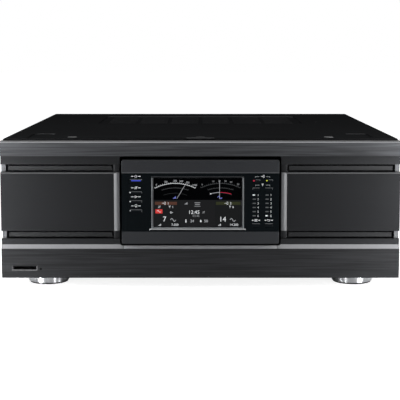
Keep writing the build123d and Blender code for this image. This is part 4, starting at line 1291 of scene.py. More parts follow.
class Icon(Enum):
    """Plain symbols printed beside keys and sockets.

    Each is a list of strokes: the width of its line as a share of the pen's, or 0 for a filled outline,
    and its points in halves of the symbol's height.
    """

    POWER = (1, arc((0, -0.1), 0.8, 35, 325, 14)), (1, [(0, 1), (0, 0)])
    TUNER = ((1, arc((0, 0), 0.75, 0, 360, 16)), (1, [(-1.1, -1), (0.9, 0.8)]),
             (0, [(0.65, 1.1), (0.6, 0.4), (1.25, 1.1)]))
    AMPLIFIER = ((1, [(-0.7, 0.9), (-0.7, -0.9), (0.9, 0), (-0.7, 0.9)]), (1, [(0.9, 0), (1.5, 0)]),
                 (1, [(-1.4, 0), (-0.7, 0)]))
    SHIELD = ((1, [(0, 1), (0.8, 0.65), (0.75, -0.2), (0, -1), (-0.75, -0.2), (-0.8, 0.65), (0, 1)]),)
    INPUT = ((1, [(-1.5, 0), (0.1, 0)]), (0, [(0.1, 0.5), (0.1, -0.5), (0.75, 0)]),
             (1, [(0.2, 1), (1.3, 1), (1.3, -1), (0.2, -1)]))
    ANTENNA = (1, [(0, 1), (0, -1)]), (1, [(-0.8, 1), (0, 0.1), (0.8, 1)])
    MENU = tuple((1.2, [(-1.2, v), (1.2, v)]) for v in (0.7, 0, -0.7))
    BACK = ((1, [(-0.9, 0.4), (0.7, 0.4), (1.1, 0), (0.7, -0.7), (-0.7, -0.7)]),
            (0, [(-0.8, 0.9), (-1.5, 0.4), (-0.8, -0.1)]))
    EARTH = ((1, [(0, 1), (0, 0)]),
             *((1, [(-half, v), (half, v)]) for v, half in ((0, 1), (-0.45, 0.6), (-0.9, 0.25))))
    THERMOMETER = (2, [(0, 0.9), (0, -0.5)]), (0, disc((0, -0.6), 0.42, 10))
    DROP = ((0, [(0, 1), *arc((0, -0.3), 0.62, -60, -300, 8)]),)
    WAVE = ((1, [(-1.4 + 0.28 * i, 0.8 * math.sin(math.tau * i / 10)) for i in range(11)]),)
    BARS = tuple((0, box(-1 + 0.6 * i, -0.65 + 0.6 * i, -0.9, -0.4 + 0.4 * i)) for i in range(4))


class Pen:
    """Draws lines, outlines and symbols on a face."""

    line_share = 0.13  # width of a symbol's line as a share of its height

    def __init__(self, shape: Shape, face: Face, finish: Finish, rise: Point2 = Shape.print_rise) -> None:
        """Draws into a shape on one face.

        Args:
            shape: The shape that takes the drawing.
            face: The face it is printed on.
            finish: Ink or light of the drawing.
            rise: Base and top of the print above the face, mm.
        """
        self.shape = shape
        self.face = face
        self.finish = finish
        self.rise = rise

    def line(self, points: Sequence[Point2], width: float) -> None:
        """A line of even width."""
        self.shape.strip(self.face, points, width, *self.rise, self.finish)

    def fill(self, outline: Sequence[Point2]) -> None:
        """A filled outline, anticlockwise."""
        self.shape.prism(self.face, outline, *self.rise, self.finish)

    def write(self, text: str, centre: Point2, height: float) -> None:
        """Plain figures."""
        self.shape.lettering(self.face, text, centre, height, self.finish, self.rise)

    def draw(self, icon: Icon, centre: Point2, size: float) -> None:
        """Draws a symbol.

        Args:
            icon: Which symbol.
            centre: Its middle on the face, mm.
            size: Its height, mm.
        """
        for width, stroke in icon.value:
            points = [(centre[0] + u * size / 2, centre[1] + v * size / 2) for u, v in stroke]
            if width:
                self.line(points, size * self.line_share * width)
            else:
                self.fill(points)


# ---- geometry trees for what repeats


class GeometryTree(Graph):
    """A geometry node tree with named inputs, whose result becomes a plain piece."""

    turn_seed = 7

    def __init__(self, name: str, **inputs: str) -> None:
        """Starts the tree.

        Args:
            name: Name of the tree.
            inputs: Kinds of its inputs by name, besides the points it works on and the finish.
        """
        tree = bpy.data.node_groups.new(name, "GeometryNodeTree")
        for socket_name, kind in {"Points": "Geometry", **inputs, "Finish": "Material"}.items():
            tree.interface.new_socket(name=socket_name, in_out="INPUT", socket_type=f"NodeSocket{kind}")
        tree.interface.new_socket(name="Result", in_out="OUTPUT", socket_type="NodeSocketGeometry")
        super().__init__(tree)
        self.entry = self.node("NodeGroupInput")

    def given(self, name: str) -> Socket:
        """A named input of the tree."""
        return self.entry.outputs[name]

    def copies(self, points: Socket, instance: Socket, **more: Socket) -> Socket:
        """Real copies of a mesh, one on each point."""
        placed = self.result("GeometryNodeInstanceOnPoints", {"Points": points, "Instance": instance, **more})
        return self.result("GeometryNodeRealizeInstances", {0: placed})

    def close(self, instance: Socket, **more: Socket) -> None:
        """Ends the tree: puts a copy on each point, makes them real and gives them their finish."""
        real = {"Geometry": self.copies(self.given("Points"), instance, **more),
                "Material": self.given("Finish")}
        self.join(self.result("GeometryNodeSetMaterial", real), self.node("NodeGroupOutput").inputs[0])

    def facing(self) -> Socket:
        """The rotation that turns a copy's Z to its point's own facing, with a fixed random turn about it.

        Returns:
            The rotation.
        """
        facing = self.result("GeometryNodeInputNamedAttribute", {"Name": "facing"}, data_type="FLOAT_VECTOR")
        aligned = self.result("FunctionNodeAlignRotationToVector", {"Vector": facing}, axis="Z")
        turn = self.node("FunctionNodeRandomValue", {"Seed": self.turn_seed, 3: math.pi}, data_type="FLOAT")
        about = {"Axis": (0.0, 0.0, 1.0), "Angle": turn.outputs[1]}
        spin = self.result("FunctionNodeAxisAngleToRotation", about)
        return self.result("FunctionNodeRotateRotation", {0: aligned, 1: spin}, rotation_space="LOCAL")

    def piece(self, name: str, body: Body, places: Sequence[Spot], values: dict[str, object], finish: Finish,
              slot: str) -> None:
        """Runs the tree on a set of points and keeps the result as a plain mesh.

        Args:
            name: Name of the piece.
            body: The body it rides on.
            places: Points, each with the direction it faces.
            values: Values of the tree's named inputs: lengths in metres, angles in radians.
            finish: Finish of the piece.
            slot: Name of the piece's material slot; not used.
        """
        points = bpy.data.meshes.new(name + "_points")
        points.from_pydata([tuple(place) for place, _ in places], [], [])
        facing = points.attributes.new("facing", "FLOAT_VECTOR", "POINT")
        facing.data.foreach_set("vector", [part for _, way in places for part in way])
        carrier = bpy.data.objects.new(name + "_points", points)
        put(carrier)
        modifier = carrier.modifiers.new("tree", "NODES")
        modifier.node_group = self.tree
        identifiers = {item.name: item.identifier for item in self.tree.interface.items_tree
                       if item.in_out == "INPUT"}
        for key, value in {**values, "Finish": finish.material()}.items():
            modifier[identifiers[key]] = value
        carrier.update_tag()
        depsgraph = bpy.context.evaluated_depsgraph_get()
        mesh = bpy.data.meshes.new_from_object(carrier.evaluated_get(depsgraph))
        mesh.name = name
        carrier.modifiers.remove(modifier)
        bpy.data.objects.remove(carrier)
        bpy.data.meshes.remove(points)
        if "facing" in mesh.attributes:
            mesh.attributes.remove(mesh.attributes["facing"])
        place_piece(mesh, name, body)


class ScrewTree(GeometryTree):
    """Screw heads with a domed top and a cross recess, one at each point."""

    dome_power = 2.5  # the dome falls off towards the rim
    arm_share = 0.45  # width of the cross's arms as a share of half their length
    cut_share, cut_middle = 1.1, 1.05  # height of the cut and its middle as shares of the head's height

    def __init__(self) -> None:
        """Builds the tree."""
        super().__init__("Screw heads", Radius="Float", Height="Float", Recess="Float", Dome="Float")
        height = self.given("Height")
        cut = self.node("GeometryNodeMeshBoolean", {"Mesh 1": self.domed(height)}, operation="DIFFERENCE")
        lengths = [self.times(self.given("Recess"), share) for share in (2.0, self.arm_share)]
        rise = self.vector(z=self.times(height, self.cut_middle))
        for first, second in (lengths, lengths[::-1]):
            size = self.vector(first, second, self.times(height, self.cut_share))
            arm = self.result("GeometryNodeMeshCube", {"Size": size})
            arm = self.result("GeometryNodeTransform", {"Geometry": arm, "Translation": rise})
            self.join(arm, cut.inputs["Mesh 2"])
        self.close(cut.outputs[0], Rotation=self.facing())

    def domed(self, height: Socket) -> Socket:
        """A round head that stands on the ground, its sides drawn in towards the top.

        Args:
            height: Height of the head.

        Returns:
            The head.
        """
        head = self.result("GeometryNodeMeshCylinder", {
            "Vertices": 20, "Side Segments": 4, "Fill Segments": 1, "Radius": self.given("Radius"),
            "Depth": height})
        x, y, z = self.node("ShaderNodeSeparateXYZ", {0: self.result("GeometryNodeInputPosition")}).outputs
        level = self.plus(self.math("DIVIDE", z, height), 0.5)
        drawn_in = self.times(self.math("POWER", level, self.dome_power), self.given("Dome"))
        share = self.math("SQRT", self.math("SUBTRACT", 1.0, drawn_in))
        moved = self.vector(self.times(x, share), self.times(y, share), self.plus(z, self.times(height, 0.5)))
        return self.result("GeometryNodeSetPosition", {"Geometry": head, "Position": moved})


class ThreadTree(GeometryTree):
    """Thread crests round a barrel that stands on each point."""

    def __init__(self) -> None:
        """Builds the tree."""
        super().__init__("Thread crests", Radius="Float", Pitch="Float", Count="Int", Crest="Float")
        ring, profile = (
            self.result("GeometryNodeCurvePrimitiveCircle",
                        {"Resolution": corners, "Radius": self.given(name)})
            for corners, name in ((28, "Radius"), (4, "Crest")))
        crest = self.result("GeometryNodeCurveToMesh", {"Curve": ring, "Profile Curve": profile})
        step = self.vector(z=self.given("Pitch"))
        line = self.result("GeometryNodeMeshLine", {"Count": self.given("Count"), "Offset": step})
        self.close(self.copies(line, crest), Rotation=self.facing())


class PinTree(GeometryTree):
    """Rings of round-ended pins, one ring at each point."""

    tip_share = 0.75  # radius of a pin's tip as a share of its foot's

    def __init__(self) -> None:
        """Builds the tree."""
        super().__init__("Pin rings", Ring="Float", Count="Int", Radius="Float", Length="Float")
        circle = {"Vertices": self.given("Count"), "Radius": self.given("Ring")}
        ring = self.result("GeometryNodeMeshCircle", circle)
        foot = self.given("Radius")
        pin = self.result("GeometryNodeMeshCone", {
            "Vertices": 10, "Side Segments": 1, "Fill Segments": 1, "Depth": self.given("Length"),
            "Radius Top": self.times(foot, self.tip_share), "Radius Bottom": foot})
        self.close(self.copies(ring, pin), Rotation=self.facing())


class TickTree(GeometryTree):
    """Ticks of a meter scale, spread evenly over an arc round each point."""

    thickness = 0.00003  # metres
    extra_length = 0.7  # of the long ticks, as a share of the others' length

    def __init__(self) -> None:
        """Builds the tree."""
        super().__init__("Scale ticks", Radius="Float", Start="Float", End="Float", Count="Int",
                         Length="Float", Width="Float", **{"Long every": "Int"})
        index = self.result("GeometryNodeInputIndex")
        share = self.math("DIVIDE", index, self.math("SUBTRACT", self.given("Count"), 1.0))
        sweep = self.math("SUBTRACT", self.given("End"), self.given("Start"))
        angle = self.plus(self.given("Start"), self.times(sweep, share))
        u, v = (self.times(self.math(way, angle), self.given("Radius")) for way in ("SINE", "COSINE"))
        line = self.result("GeometryNodeMeshLine", {"Count": self.given("Count")})
        moved = {"Geometry": line, "Position": self.vector(u, 0.0, v)}
        placed = self.result("GeometryNodeSetPosition", moved)
        size = self.vector(self.given("Width"), self.thickness, self.given("Length"))
        tick = self.result("GeometryNodeMeshCube", {"Size": size})
        turn = self.result("FunctionNodeAxisAngleToRotation", {"Axis": (0.0, 1.0, 0.0), "Angle": angle})
        long = self.below(self.math("MODULO", index, self.given("Long every")), 0.5)
        scale = self.vector(1.0, 1.0, self.plus(1.0, self.times(long, self.extra_length)))
        self.close(self.copies(placed, tick, Rotation=turn, Scale=scale))


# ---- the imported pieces' finishes


@dataclass(frozen=True)
class PackedFinishes:
    """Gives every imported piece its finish.

    Args:
        table: Finish and the names of the pieces that wear it.
    """

    table: tuple[tuple[Finish, tuple[str, ...]], ...] = (
        (PANEL_BLACK, ("front_panel",)),
        (PLATE_BLACK, ("front_plates",)),
        (END_METAL, ("slot_end_caps",)),
        (GRILLE_BLACK, ("air_grilles",)),
        (SUBFRAME_BLACK, ("front_subframe",)),
        (ZINC_STEEL, ("centre_wall", "power_supply", "lan_socket", "head_plug")),
        (CARD_STEEL, ("card_socket",)),
        (BEZEL_GREY, ("head_bezel",)),
        (WINDOW_BLACK, ("head_window",)),
        (KEY_BLACK, ("power_key", "tuner_key", "amplifier_key", "protection_key", "input_key_1",
                     "input_key_2", "antenna_key_1", "antenna_key_2", "menu_key", "back_key")),
        (FRAME_SILVER, ("screen_frame",)),
        (DISPLAY_BLACK, ("display_module",)),
        (LAMP_GREY, ("indicator_lamps",)),
        (LENS_DARK, ("card_light",)),
        (COVER_BLACK, ("top_cover",)),
        (CASE_BLACK, ("base_tray", "rear_panel")),
        (CHROME, ("foot_shells",)),
        (COVER_SCREW, ("cover_screws",)),
        (RUBBER, ("foot_pads",)),
        (STEEL_SCREW, ("foot_screws",)),
        (LEVER_BLACK, ("release_lever",)),
        (GLOSS_BLACK, ("switch_rocker", "tuner_relays")),
        (NICKEL, ("coaxial_sockets", "ground_terminal")),
        (INSULATOR, ("socket_insulators",)),
        (BRASS_PLATE, ("rear_contacts", "board_spacers")),
        (BLACK_MOULDING, ("bay_socket", "head_case", "mains_inlet", "switch_frame", "round_sockets",
                          "mini_jacks", "fan_frames", "fan_rotor_inner", "fan_rotor_outer")),
        (BOARD_GREEN, ("head_board", "amplifier_board", "control_board", "filter_board", "tuner_board")),
        (SINK_METAL, ("heat_sink",)),
        (CERAMIC, ("power_transistors",)),
        (FERRITE, ("output_transformers",)),
        (COPPER_WIRE, ("filter_coils",)),
        (SILVER_WIRE, ("tuner_coils",)),
    )

    def apply(self) -> None:
        """Puts each finish in its pieces' material slots."""
        for finish, names in self.table:
            for name in names:
                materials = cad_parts[name].data.materials
                materials.clear()
                materials.append(finish.material())
        dressed = {name for _, names in self.table for name in names}
        log.info("finishes on %d packed pieces, %d left", len(dressed), len(set(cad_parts) - dressed))


# ---- control head


@dataclass(frozen=True)
class Meter:
    """One meter drawn on the display.

    Args:
        centre: Centre of its arcs, X and Z in mm.
        radius: Radius of the outer arc.
        sweep: Half angle of the outer arc in degrees.
        bright: Light of the outer scale.
        text: Light of its figures.
        figures: Figures round the outer arc, with their angles.
        needle: Foot and tip of the needle.
    """

    centre: Point2
    radius: float
    sweep: float
    bright: Finish
    text: Finish
    figures: tuple[tuple[str, float], ...]
    needle: tuple[Point2, Point2]

    def ring(self, rise: float, share: float, steps: int) -> list[Point2]:
        """An arc above the outer one, over a share of its sweep."""
        return arc(self.centre, self.radius + rise, -self.sweep * share, self.sweep * share, steps)

    def ticks(self, rise: float, share: float, count: int, size: Point2,
              long_every: int) -> dict[str, object]:
        """Sizes of a row of ticks.

        Args:
            rise: Its height above the outer arc, mm.
            share: Its share of the outer arc's sweep.
            count: How many ticks.
            size: Length and width of a tick, mm.
            long_every: One in this many ticks is long.

        Returns:
            The tick tree's inputs.
        """
        half = math.radians(self.sweep * share)
        return {"Radius": (self.radius + rise) * MM, "Start": -half, "End": half, "Count": count,
                "Length": size[0] * MM, "Width": size[1] * MM, "Long every": long_every}


@dataclass
class Display:
    """The lit picture on the control head's display.

    Args:
        face_y: Depth of the display's face, mm.
        left: Left edge of the picture, mm.
        right: Its right edge.
        low: Its lower edge.
        split: Height of the line between the meters and the readings.
        meters: The two meters.
        bars: Plain bars: left, right, lower and upper edge, and light.
        symbols: Symbols, each with its middle, height and light.
        figures: Figures of the readings, each with its middle, height and light.
    """

    face_y: float = -229.6
    left: float = -49.6
    right: float = 43.7
    low: float = 68.2
    split: float = 96.8
    meters: tuple[Meter, ...] = (
        Meter((-26.8, 67.5), 47.0, 27.0, GLOW_WHITE, GLOW_TEXT,
              (("0", -23.5), ("100", -11.5), ("250", 0.0), ("500", 7.5), ("750", 15.5), ("1000", 24.5)),
              ((-24.9, 98.3), (-14.7, 115.5))),
        Meter((21.3, 67.5), 47.0, 26.0, GLOW_DIM, GLOW_SOFT,
              (("0", -23.0), ("10", -9.0), ("20", -1.5), ("30", 6.0), ("40", 13.0), ("50", 22.0)),
              ((20.3, 97.9), (20.3, 117.4))),
    )
    bars: tuple[tuple[tuple[float, float, float, float], Finish], ...] = (
        ((-48.3, -24.9, 91.6, 94.9), GLOW_BROWN),
        ((16.5, 42.6, 91.6, 94.9), GLOW_OLIVE),
        ((-47.7, -40.3, 82.4, 86.8), GLOW_RED),
        ((-6.2, -0.2, 93.4, 94.2), GLOW_SOFT),
        ((-5.8, -0.6, 91.5, 92.3), GLOW_SOFT),
        ((-6.4, 0.0, 89.6, 90.4), GLOW_GREY),
    )
    symbols: tuple[tuple[Icon, Point2, float, Finish], ...] = (
        (Icon.INPUT, (-38.8, 93.3), 2.6, GLOW_WHITE),
        (Icon.INPUT, (27.5, 93.3), 2.6, GLOW_WHITE),
        (Icon.ANTENNA, (-32.6, 89.4), 2.6, GLOW_WHITE),
        (Icon.ANTENNA, (31.4, 89.4), 2.6, GLOW_WHITE),
        (Icon.TUNER, (-43.6, 89.4), 2.5, GLOW_TEXT),
        (Icon.AMPLIFIER, (-30.8, 83.4), 2.4, GLOW_WHITE),
        (Icon.WAVE, (-44.0, 84.6), 2.8, GLOW_WHITE),
        (Icon.WAVE, (-29.0, 75.4), 4.0, GLOW_TEXT),
        (Icon.WAVE, (34.3, 75.4), 4.0, GLOW_TEXT),
        (Icon.BARS, (-43.4, 70.3), 2.6, GLOW_WHITE),
        (Icon.BARS, (20.2, 70.3), 2.6, GLOW_WHITE),
        (Icon.TUNER, (3.4, 83.6), 2.4, GLOW_SOFT),
        (Icon.THERMOMETER, (-15.4, 74.4), 3.6, GLOW_WHITE),
        (Icon.DROP, (0.4, 74.4), 3.0, GLOW_WHITE),
        (Icon.BARS, (-15.3, 93.2), 2.6, GLOW_TEXT),
        (Icon.BARS, (-27.6, 99.5), 2.8, GLOW_VIOLET),
        (Icon.WAVE, (20.6, 99.5), 3.4, GLOW_VIOLET),
    )
    figures: tuple[tuple[str, Point2, float, Finish], ...] = (
        ("1", (-34.2, 93.3), 2.6, GLOW_WHITE),
        ("2", (32.1, 93.3), 2.6, GLOW_WHITE),
        ("1", (-29.3, 89.4), 2.4, GLOW_WHITE),
        ("6", (34.7, 89.4), 2.4, GLOW_WHITE),
        ("7", (-38.1, 76.6), 5.6, GLOW_WHITE),
        ("14", (23.6, 76.4), 5.6, GLOW_WHITE),
        ("7.050", (-27.0, 70.4), 2.5, GLOW_WHITE),
        ("14.200", (35.6, 70.4), 2.5, GLOW_WHITE),
        ("12:45", (-6.8, 83.9), 4.0, GLOW_WHITE),
        ("03:45", (-4.6, 79.9), 2.4, GLOW_SOFT),
        ("24", (-8.8, 74.4), 3.0, GLOW_TEXT),
        ("50", (6.0, 74.4), 3.0, GLOW_TEXT),
    )

    @property
    def glass(self) -> Face:
        """The display's face, a hair in front of its glass."""
        return front(self.face_y)

    def ground(self, shape: Shape) -> None:
        """Lays the dark panes behind the readings.

        Args:
            shape: The shape that takes them.
        """
        low, high = self.low + 0.4, self.split - 0.6
        shape.prism(self.glass, box(self.left, self.right, self.low, self.split), 0.01, 0.03, GLOW_PANEL)
        for left, right, light in ((self.left + 0.5, -21.6, GLOW_CELL), (-20.4, 14.2, GLOW_PANEL),
                                   (15.4, self.right - 0.5, GLOW_CELL)):
            shape.prism(self.glass, box(left, right, low, high), 0.03, 0.045, light)

    def scales(self, shape: Shape, ticks: TickTree) -> None:
        """Draws arcs, figures, ticks and needles of both meters.

        Args:
            shape: The shape that takes all but the ticks.
            ticks: The tree that makes the ticks.
        """
        for number, meter in enumerate(self.meters, 1):
            for rise, share, steps, width, light in (
                    (0.0, 1.0, 24, 0.42, meter.bright), (-4.9, 0.72, 18, 0.34, GLOW_DIM),
                    (-10.4, 0.74, 18, 0.34, GLOW_FAINT)):
                shape.strip(self.glass, meter.ring(rise, share, steps), width, 0.05, 0.07, light)
            for text, angle in meter.figures:
                spot = arc(meter.centre, meter.radius + 2.8, angle, angle)[0]
                shape.lettering(self.glass, text, spot, 1.9, meter.text, (0.05, 0.07))
            shape.strip(self.glass, meter.needle, 0.34, 0.1, 0.12, GLOW_TEXT)
            place = self.glass.spots([meter.centre], 0.06)
            for row, sizes, light in (("ticks", meter.ticks(0.7, 1.0, 21, (0.9, 0.28), 4), meter.bright),
                                      ("inner_ticks", meter.ticks(-4.2, 0.7, 15, (0.7, 0.25), 7), GLOW_DIM)):
                ticks.piece(f"meter_{row}_{number}", Body.HEAD, place, sizes, light, "display_dark")

    def share_scale(self, shape: Shape) -> None:
        """Draws the right meter's lower scale: a dot, a pale part and a red part.

        Args:
            shape: The shape that takes it.
        """
        centre, radius = self.meters[1].centre, self.meters[1].radius - 9.6
        shape.strip(self.glass, arc(centre, radius, -15.5, -1.5, 8), 0.42, 0.07, 0.09, GLOW_TEXT)
        shape.strip(self.glass, arc(centre, radius, -1.0, 18.0, 10), 0.5, 0.07, 0.09, GLOW_ROSE)
        dot = disc(arc(centre, radius, -16.2, 0.0)[0], 0.7, 8)
        shape.prism(self.glass, dot, 0.07, 0.09, GLOW_WHITE)

    def readings(self, shape: Shape) -> None:
        """Draws bars, figures and symbols under the meters.

        Args:
            shape: The shape that takes them.
        """
        for edges, light in self.bars:
            shape.prism(self.glass, box(*edges), 0.05, 0.065, light)
        for icon, centre, size, light in self.symbols:
            Pen(shape, self.glass, light, (0.07, 0.085)).draw(icon, centre, size)
        for text, centre, size, light in self.figures:
            shape.lettering(self.glass, text, centre, size, light, (0.07, 0.085))

    def build(self, ticks: TickTree) -> None:
        """Builds the picture as one piece on the head, besides its ticks.

        Args:
            ticks: The tree that makes the ticks.
        """
        shape = Shape()
        self.ground(shape)
        self.scales(shape, ticks)
        self.share_scale(shape)
        self.readings(shape)
        shape.piece("display_picture", Body.HEAD, "display_dark")


@dataclass
class HeadMarks:
    """Prints and lamps on the control head's window and keys.

    Args:
        window_y: Depth of the window's face, mm.
        key_y: Depth of the keys' faces, mm.
        key_marks: Symbols beside the keys: middle and height.
        key_dashes: Dashes each side of some of them: their numbers, near and far end, and width.
        pair_x: Middle of the brackets over the paired keys, mm.
        pair_z: Their heights above the desk.
        bracket_lines: Fine lines on the keys: key, start, end, height and drop at the end.
        lamps: Lamps on the keys: key, middle, size and finish.
        column_x: Middles of the two columns of lamps, mm.
        first_row_z: Height of their first row.
        row_pitch: Distance of the rows.
        rows: How many rows.
        lit: Column and row of the bright figures.
        sill: Outlines of the bright sill: middle, size, corner and height above the window.
    """

    window_y: float = -231.9
    key_y: float = -232.2
    key_marks: tuple[tuple[Icon, Point2, float], ...] = (
        (Icon.POWER, (-68.2, 122.3), 2.8),
        (Icon.TUNER, (-68.2, 110.1), 2.8),
        (Icon.AMPLIFIER, (-68.2, 100.5), 2.6),
        (Icon.SHIELD, (-68.2, 90.8), 2.8),
        (Icon.INPUT, (65.7, 122.2), 2.6),
        (Icon.ANTENNA, (65.7, 113.2), 2.6),
        (Icon.MENU, (58.9, 75.4), 2.6),
        (Icon.BACK, (72.5, 75.4), 2.6),
    )
    key_dashes: tuple[tuple[tuple[int, ...], Point2, float], ...] = (
        ((0, 1, 2, 3), (2.5, 5.0), 0.6),
        ((6, 7), (2.7, 4.3), 0.8),
    )
    pair_x: float = 65.7
    pair_z: Point2 = (122.0, 113.0)
    bracket_lines: tuple[tuple[Body, float, float, float, float], ...] = (
        (Body.POWER_KEY, -74.6, -62.0, 119.1, 1.2),
        (Body.TUNER_KEY, -73.3, -62.0, 105.9, 1.6),
        (Body.AMPLIFIER_KEY, -73.3, -62.0, 96.4, 2.2),
        (Body.PROTECTION_KEY, -74.6, -62.0, 86.6, 2.4),
        (Body.INPUT_KEY_1, 58.4, 62.9, 118.6, 1.0),
        (Body.INPUT_KEY_2, 72.2, 76.4, 118.6, 1.6),
        (Body.ANTENNA_KEY_1, 62.6, 55.4, 110.0, 1.6),
        (Body.ANTENNA_KEY_2, 68.6, 76.2, 110.0, 1.6),
        (Body.MENU_KEY, 54.9, 62.9, 71.8, 0.3),
        (Body.BACK_KEY, 68.6, 76.4, 71.8, 0.3),
    )
    lamps: tuple[tuple[Body, Point2, Point2, Finish], ...] = (
        (Body.POWER_KEY, (-68.0, 117.7), (10.4, 1.1), GLOW_BLUE),
        (Body.TUNER_KEY, (-74.3, 105.1), (1.3, 1.3), GLOW_WHITE),
        (Body.AMPLIFIER_KEY, (-74.3, 95.5), (1.3, 1.3), GLOW_WHITE),
        (Body.PROTECTION_KEY, (-74.3, 85.6), (1.3, 1.3), LENS_CLEAR),
        (Body.INPUT_KEY_1, (56.5, 117.6), (1.7, 1.5), GLOW_ROSE),
        (Body.INPUT_KEY_2, (70.2, 117.7), (1.5, 1.4), GLOW_LIME),
    )
    column_x: Point2 = (57.0, 70.6)
    first_row_z: float = 102.4
    row_pitch: float = 4.43
    rows: int = 6
    lit: tuple[tuple[int, int], ...] = ((0, 0), (1, 5))
    sill: tuple[tuple[Point2, Point2, float, float], ...] = (
        ((-2.9, 65.9), (101.6, 1.3), 0.3, 0.0),
        ((-2.9, 65.9), (101.6, 1.3), 0.3, 0.25),
        ((-2.9, 65.6), (100.6, 0.7), 0.25, 0.5),
    )

    def prints(self) -> None:
        """Prints symbols, dashes, brackets and row figures on the window."""
        shape = Shape()
        window = front(self.window_y)
        white, grey, light = (Pen(shape, window, ink) for ink in (PRINT_WHITE, PRINT_GREY, PRINT_LIGHT))
        for icon, centre, size in self.key_marks:
            white.draw(icon, centre, size)
        for numbers, (near, far), width in self.key_dashes:
            for x, z in (self.key_marks[number][1] for number in numbers):
                for side in SIDES:
                    white.line([(x + side * near, z), (x + side * far, z)], width)
        for z in self.pair_z:
            for side in SIDES:
                near, far = (self.pair_x + side * reach for reach in (3.4, 7.6))
                grey.line([(near, z), (far, z), (far, z - 1.2)], 0.3)
        for column, x in enumerate(self.column_x):
            for row in range(self.rows):
                ink = white if (column, row) in self.lit else light
                ink.write(str(row + 1), (x + 4.1, self.first_row_z - row * self.row_pitch), 2.4)
        shape.piece("head_prints", Body.HEAD, "smoked_glass")

    def brackets(self) -> None:
        """Draws fine lines on the keys: one along the top, turning down at one end."""
        for body, start, end, z, drop in self.bracket_lines:
            shape = Shape()
            Pen(shape, front(self.key_y), PRINT_FAINT).line([(start, z), (end, z), (end, z - drop)], 0.34)
            shape.piece(f"{body.value}_bracket", body, "key_grey")

    def bright_sill(self) -> None:
        """Builds the bright sill under the screen."""
        shape = Shape()
        rings = [(rounded(centre, size, corner), rise) for centre, size, corner, rise in self.sill]
        shape.loft(front(self.window_y), rings, SILL_SILVER)
        shape.piece("screen_sill", Body.HEAD, "frame_silver")

    def key_lamps(self) -> None:
        """Builds small raised lenses with softened edges: a bar for power and dots for the others."""
        for body, centre, (width, height), finish in self.lamps:
            shape = Shape()
            radius = height / 2 - 0.05
            outline = rounded(centre, (width, height), radius)
            inner = rounded(centre, (width - 0.3, height - 0.3), radius - 0.15)
            shape.loft(front(self.key_y), [(outline, -0.02), (outline, 0.06), (inner, 0.14)], finish)
            shape.piece(f"{body.value}_lamp", body, "key_grey")

    def build(self) -> None:
        """Builds the prints, the brackets, the sill and the lamps."""
        self.prints()
        self.brackets()
        self.bright_sill()
        self.key_lamps()


# ---- case details


@dataclass(frozen=True)
class Screw:
    """Sizes of a screw head in mm.

    Args:
        radius: Radius of the head.
        height: Height of the head.
        recess: Half the length of the cross recess.
        dome: How far the dome is drawn in, from 0 to 1.
    """

    radius: float
    height: float
    recess: float
    dome: float = 0.5

    def values(self) -> dict[str, object]:
        """The screw tree's inputs."""
        return {"Radius": self.radius * MM, "Height": self.height * MM, "Recess": self.recess * MM,
                "Dome": self.dome}


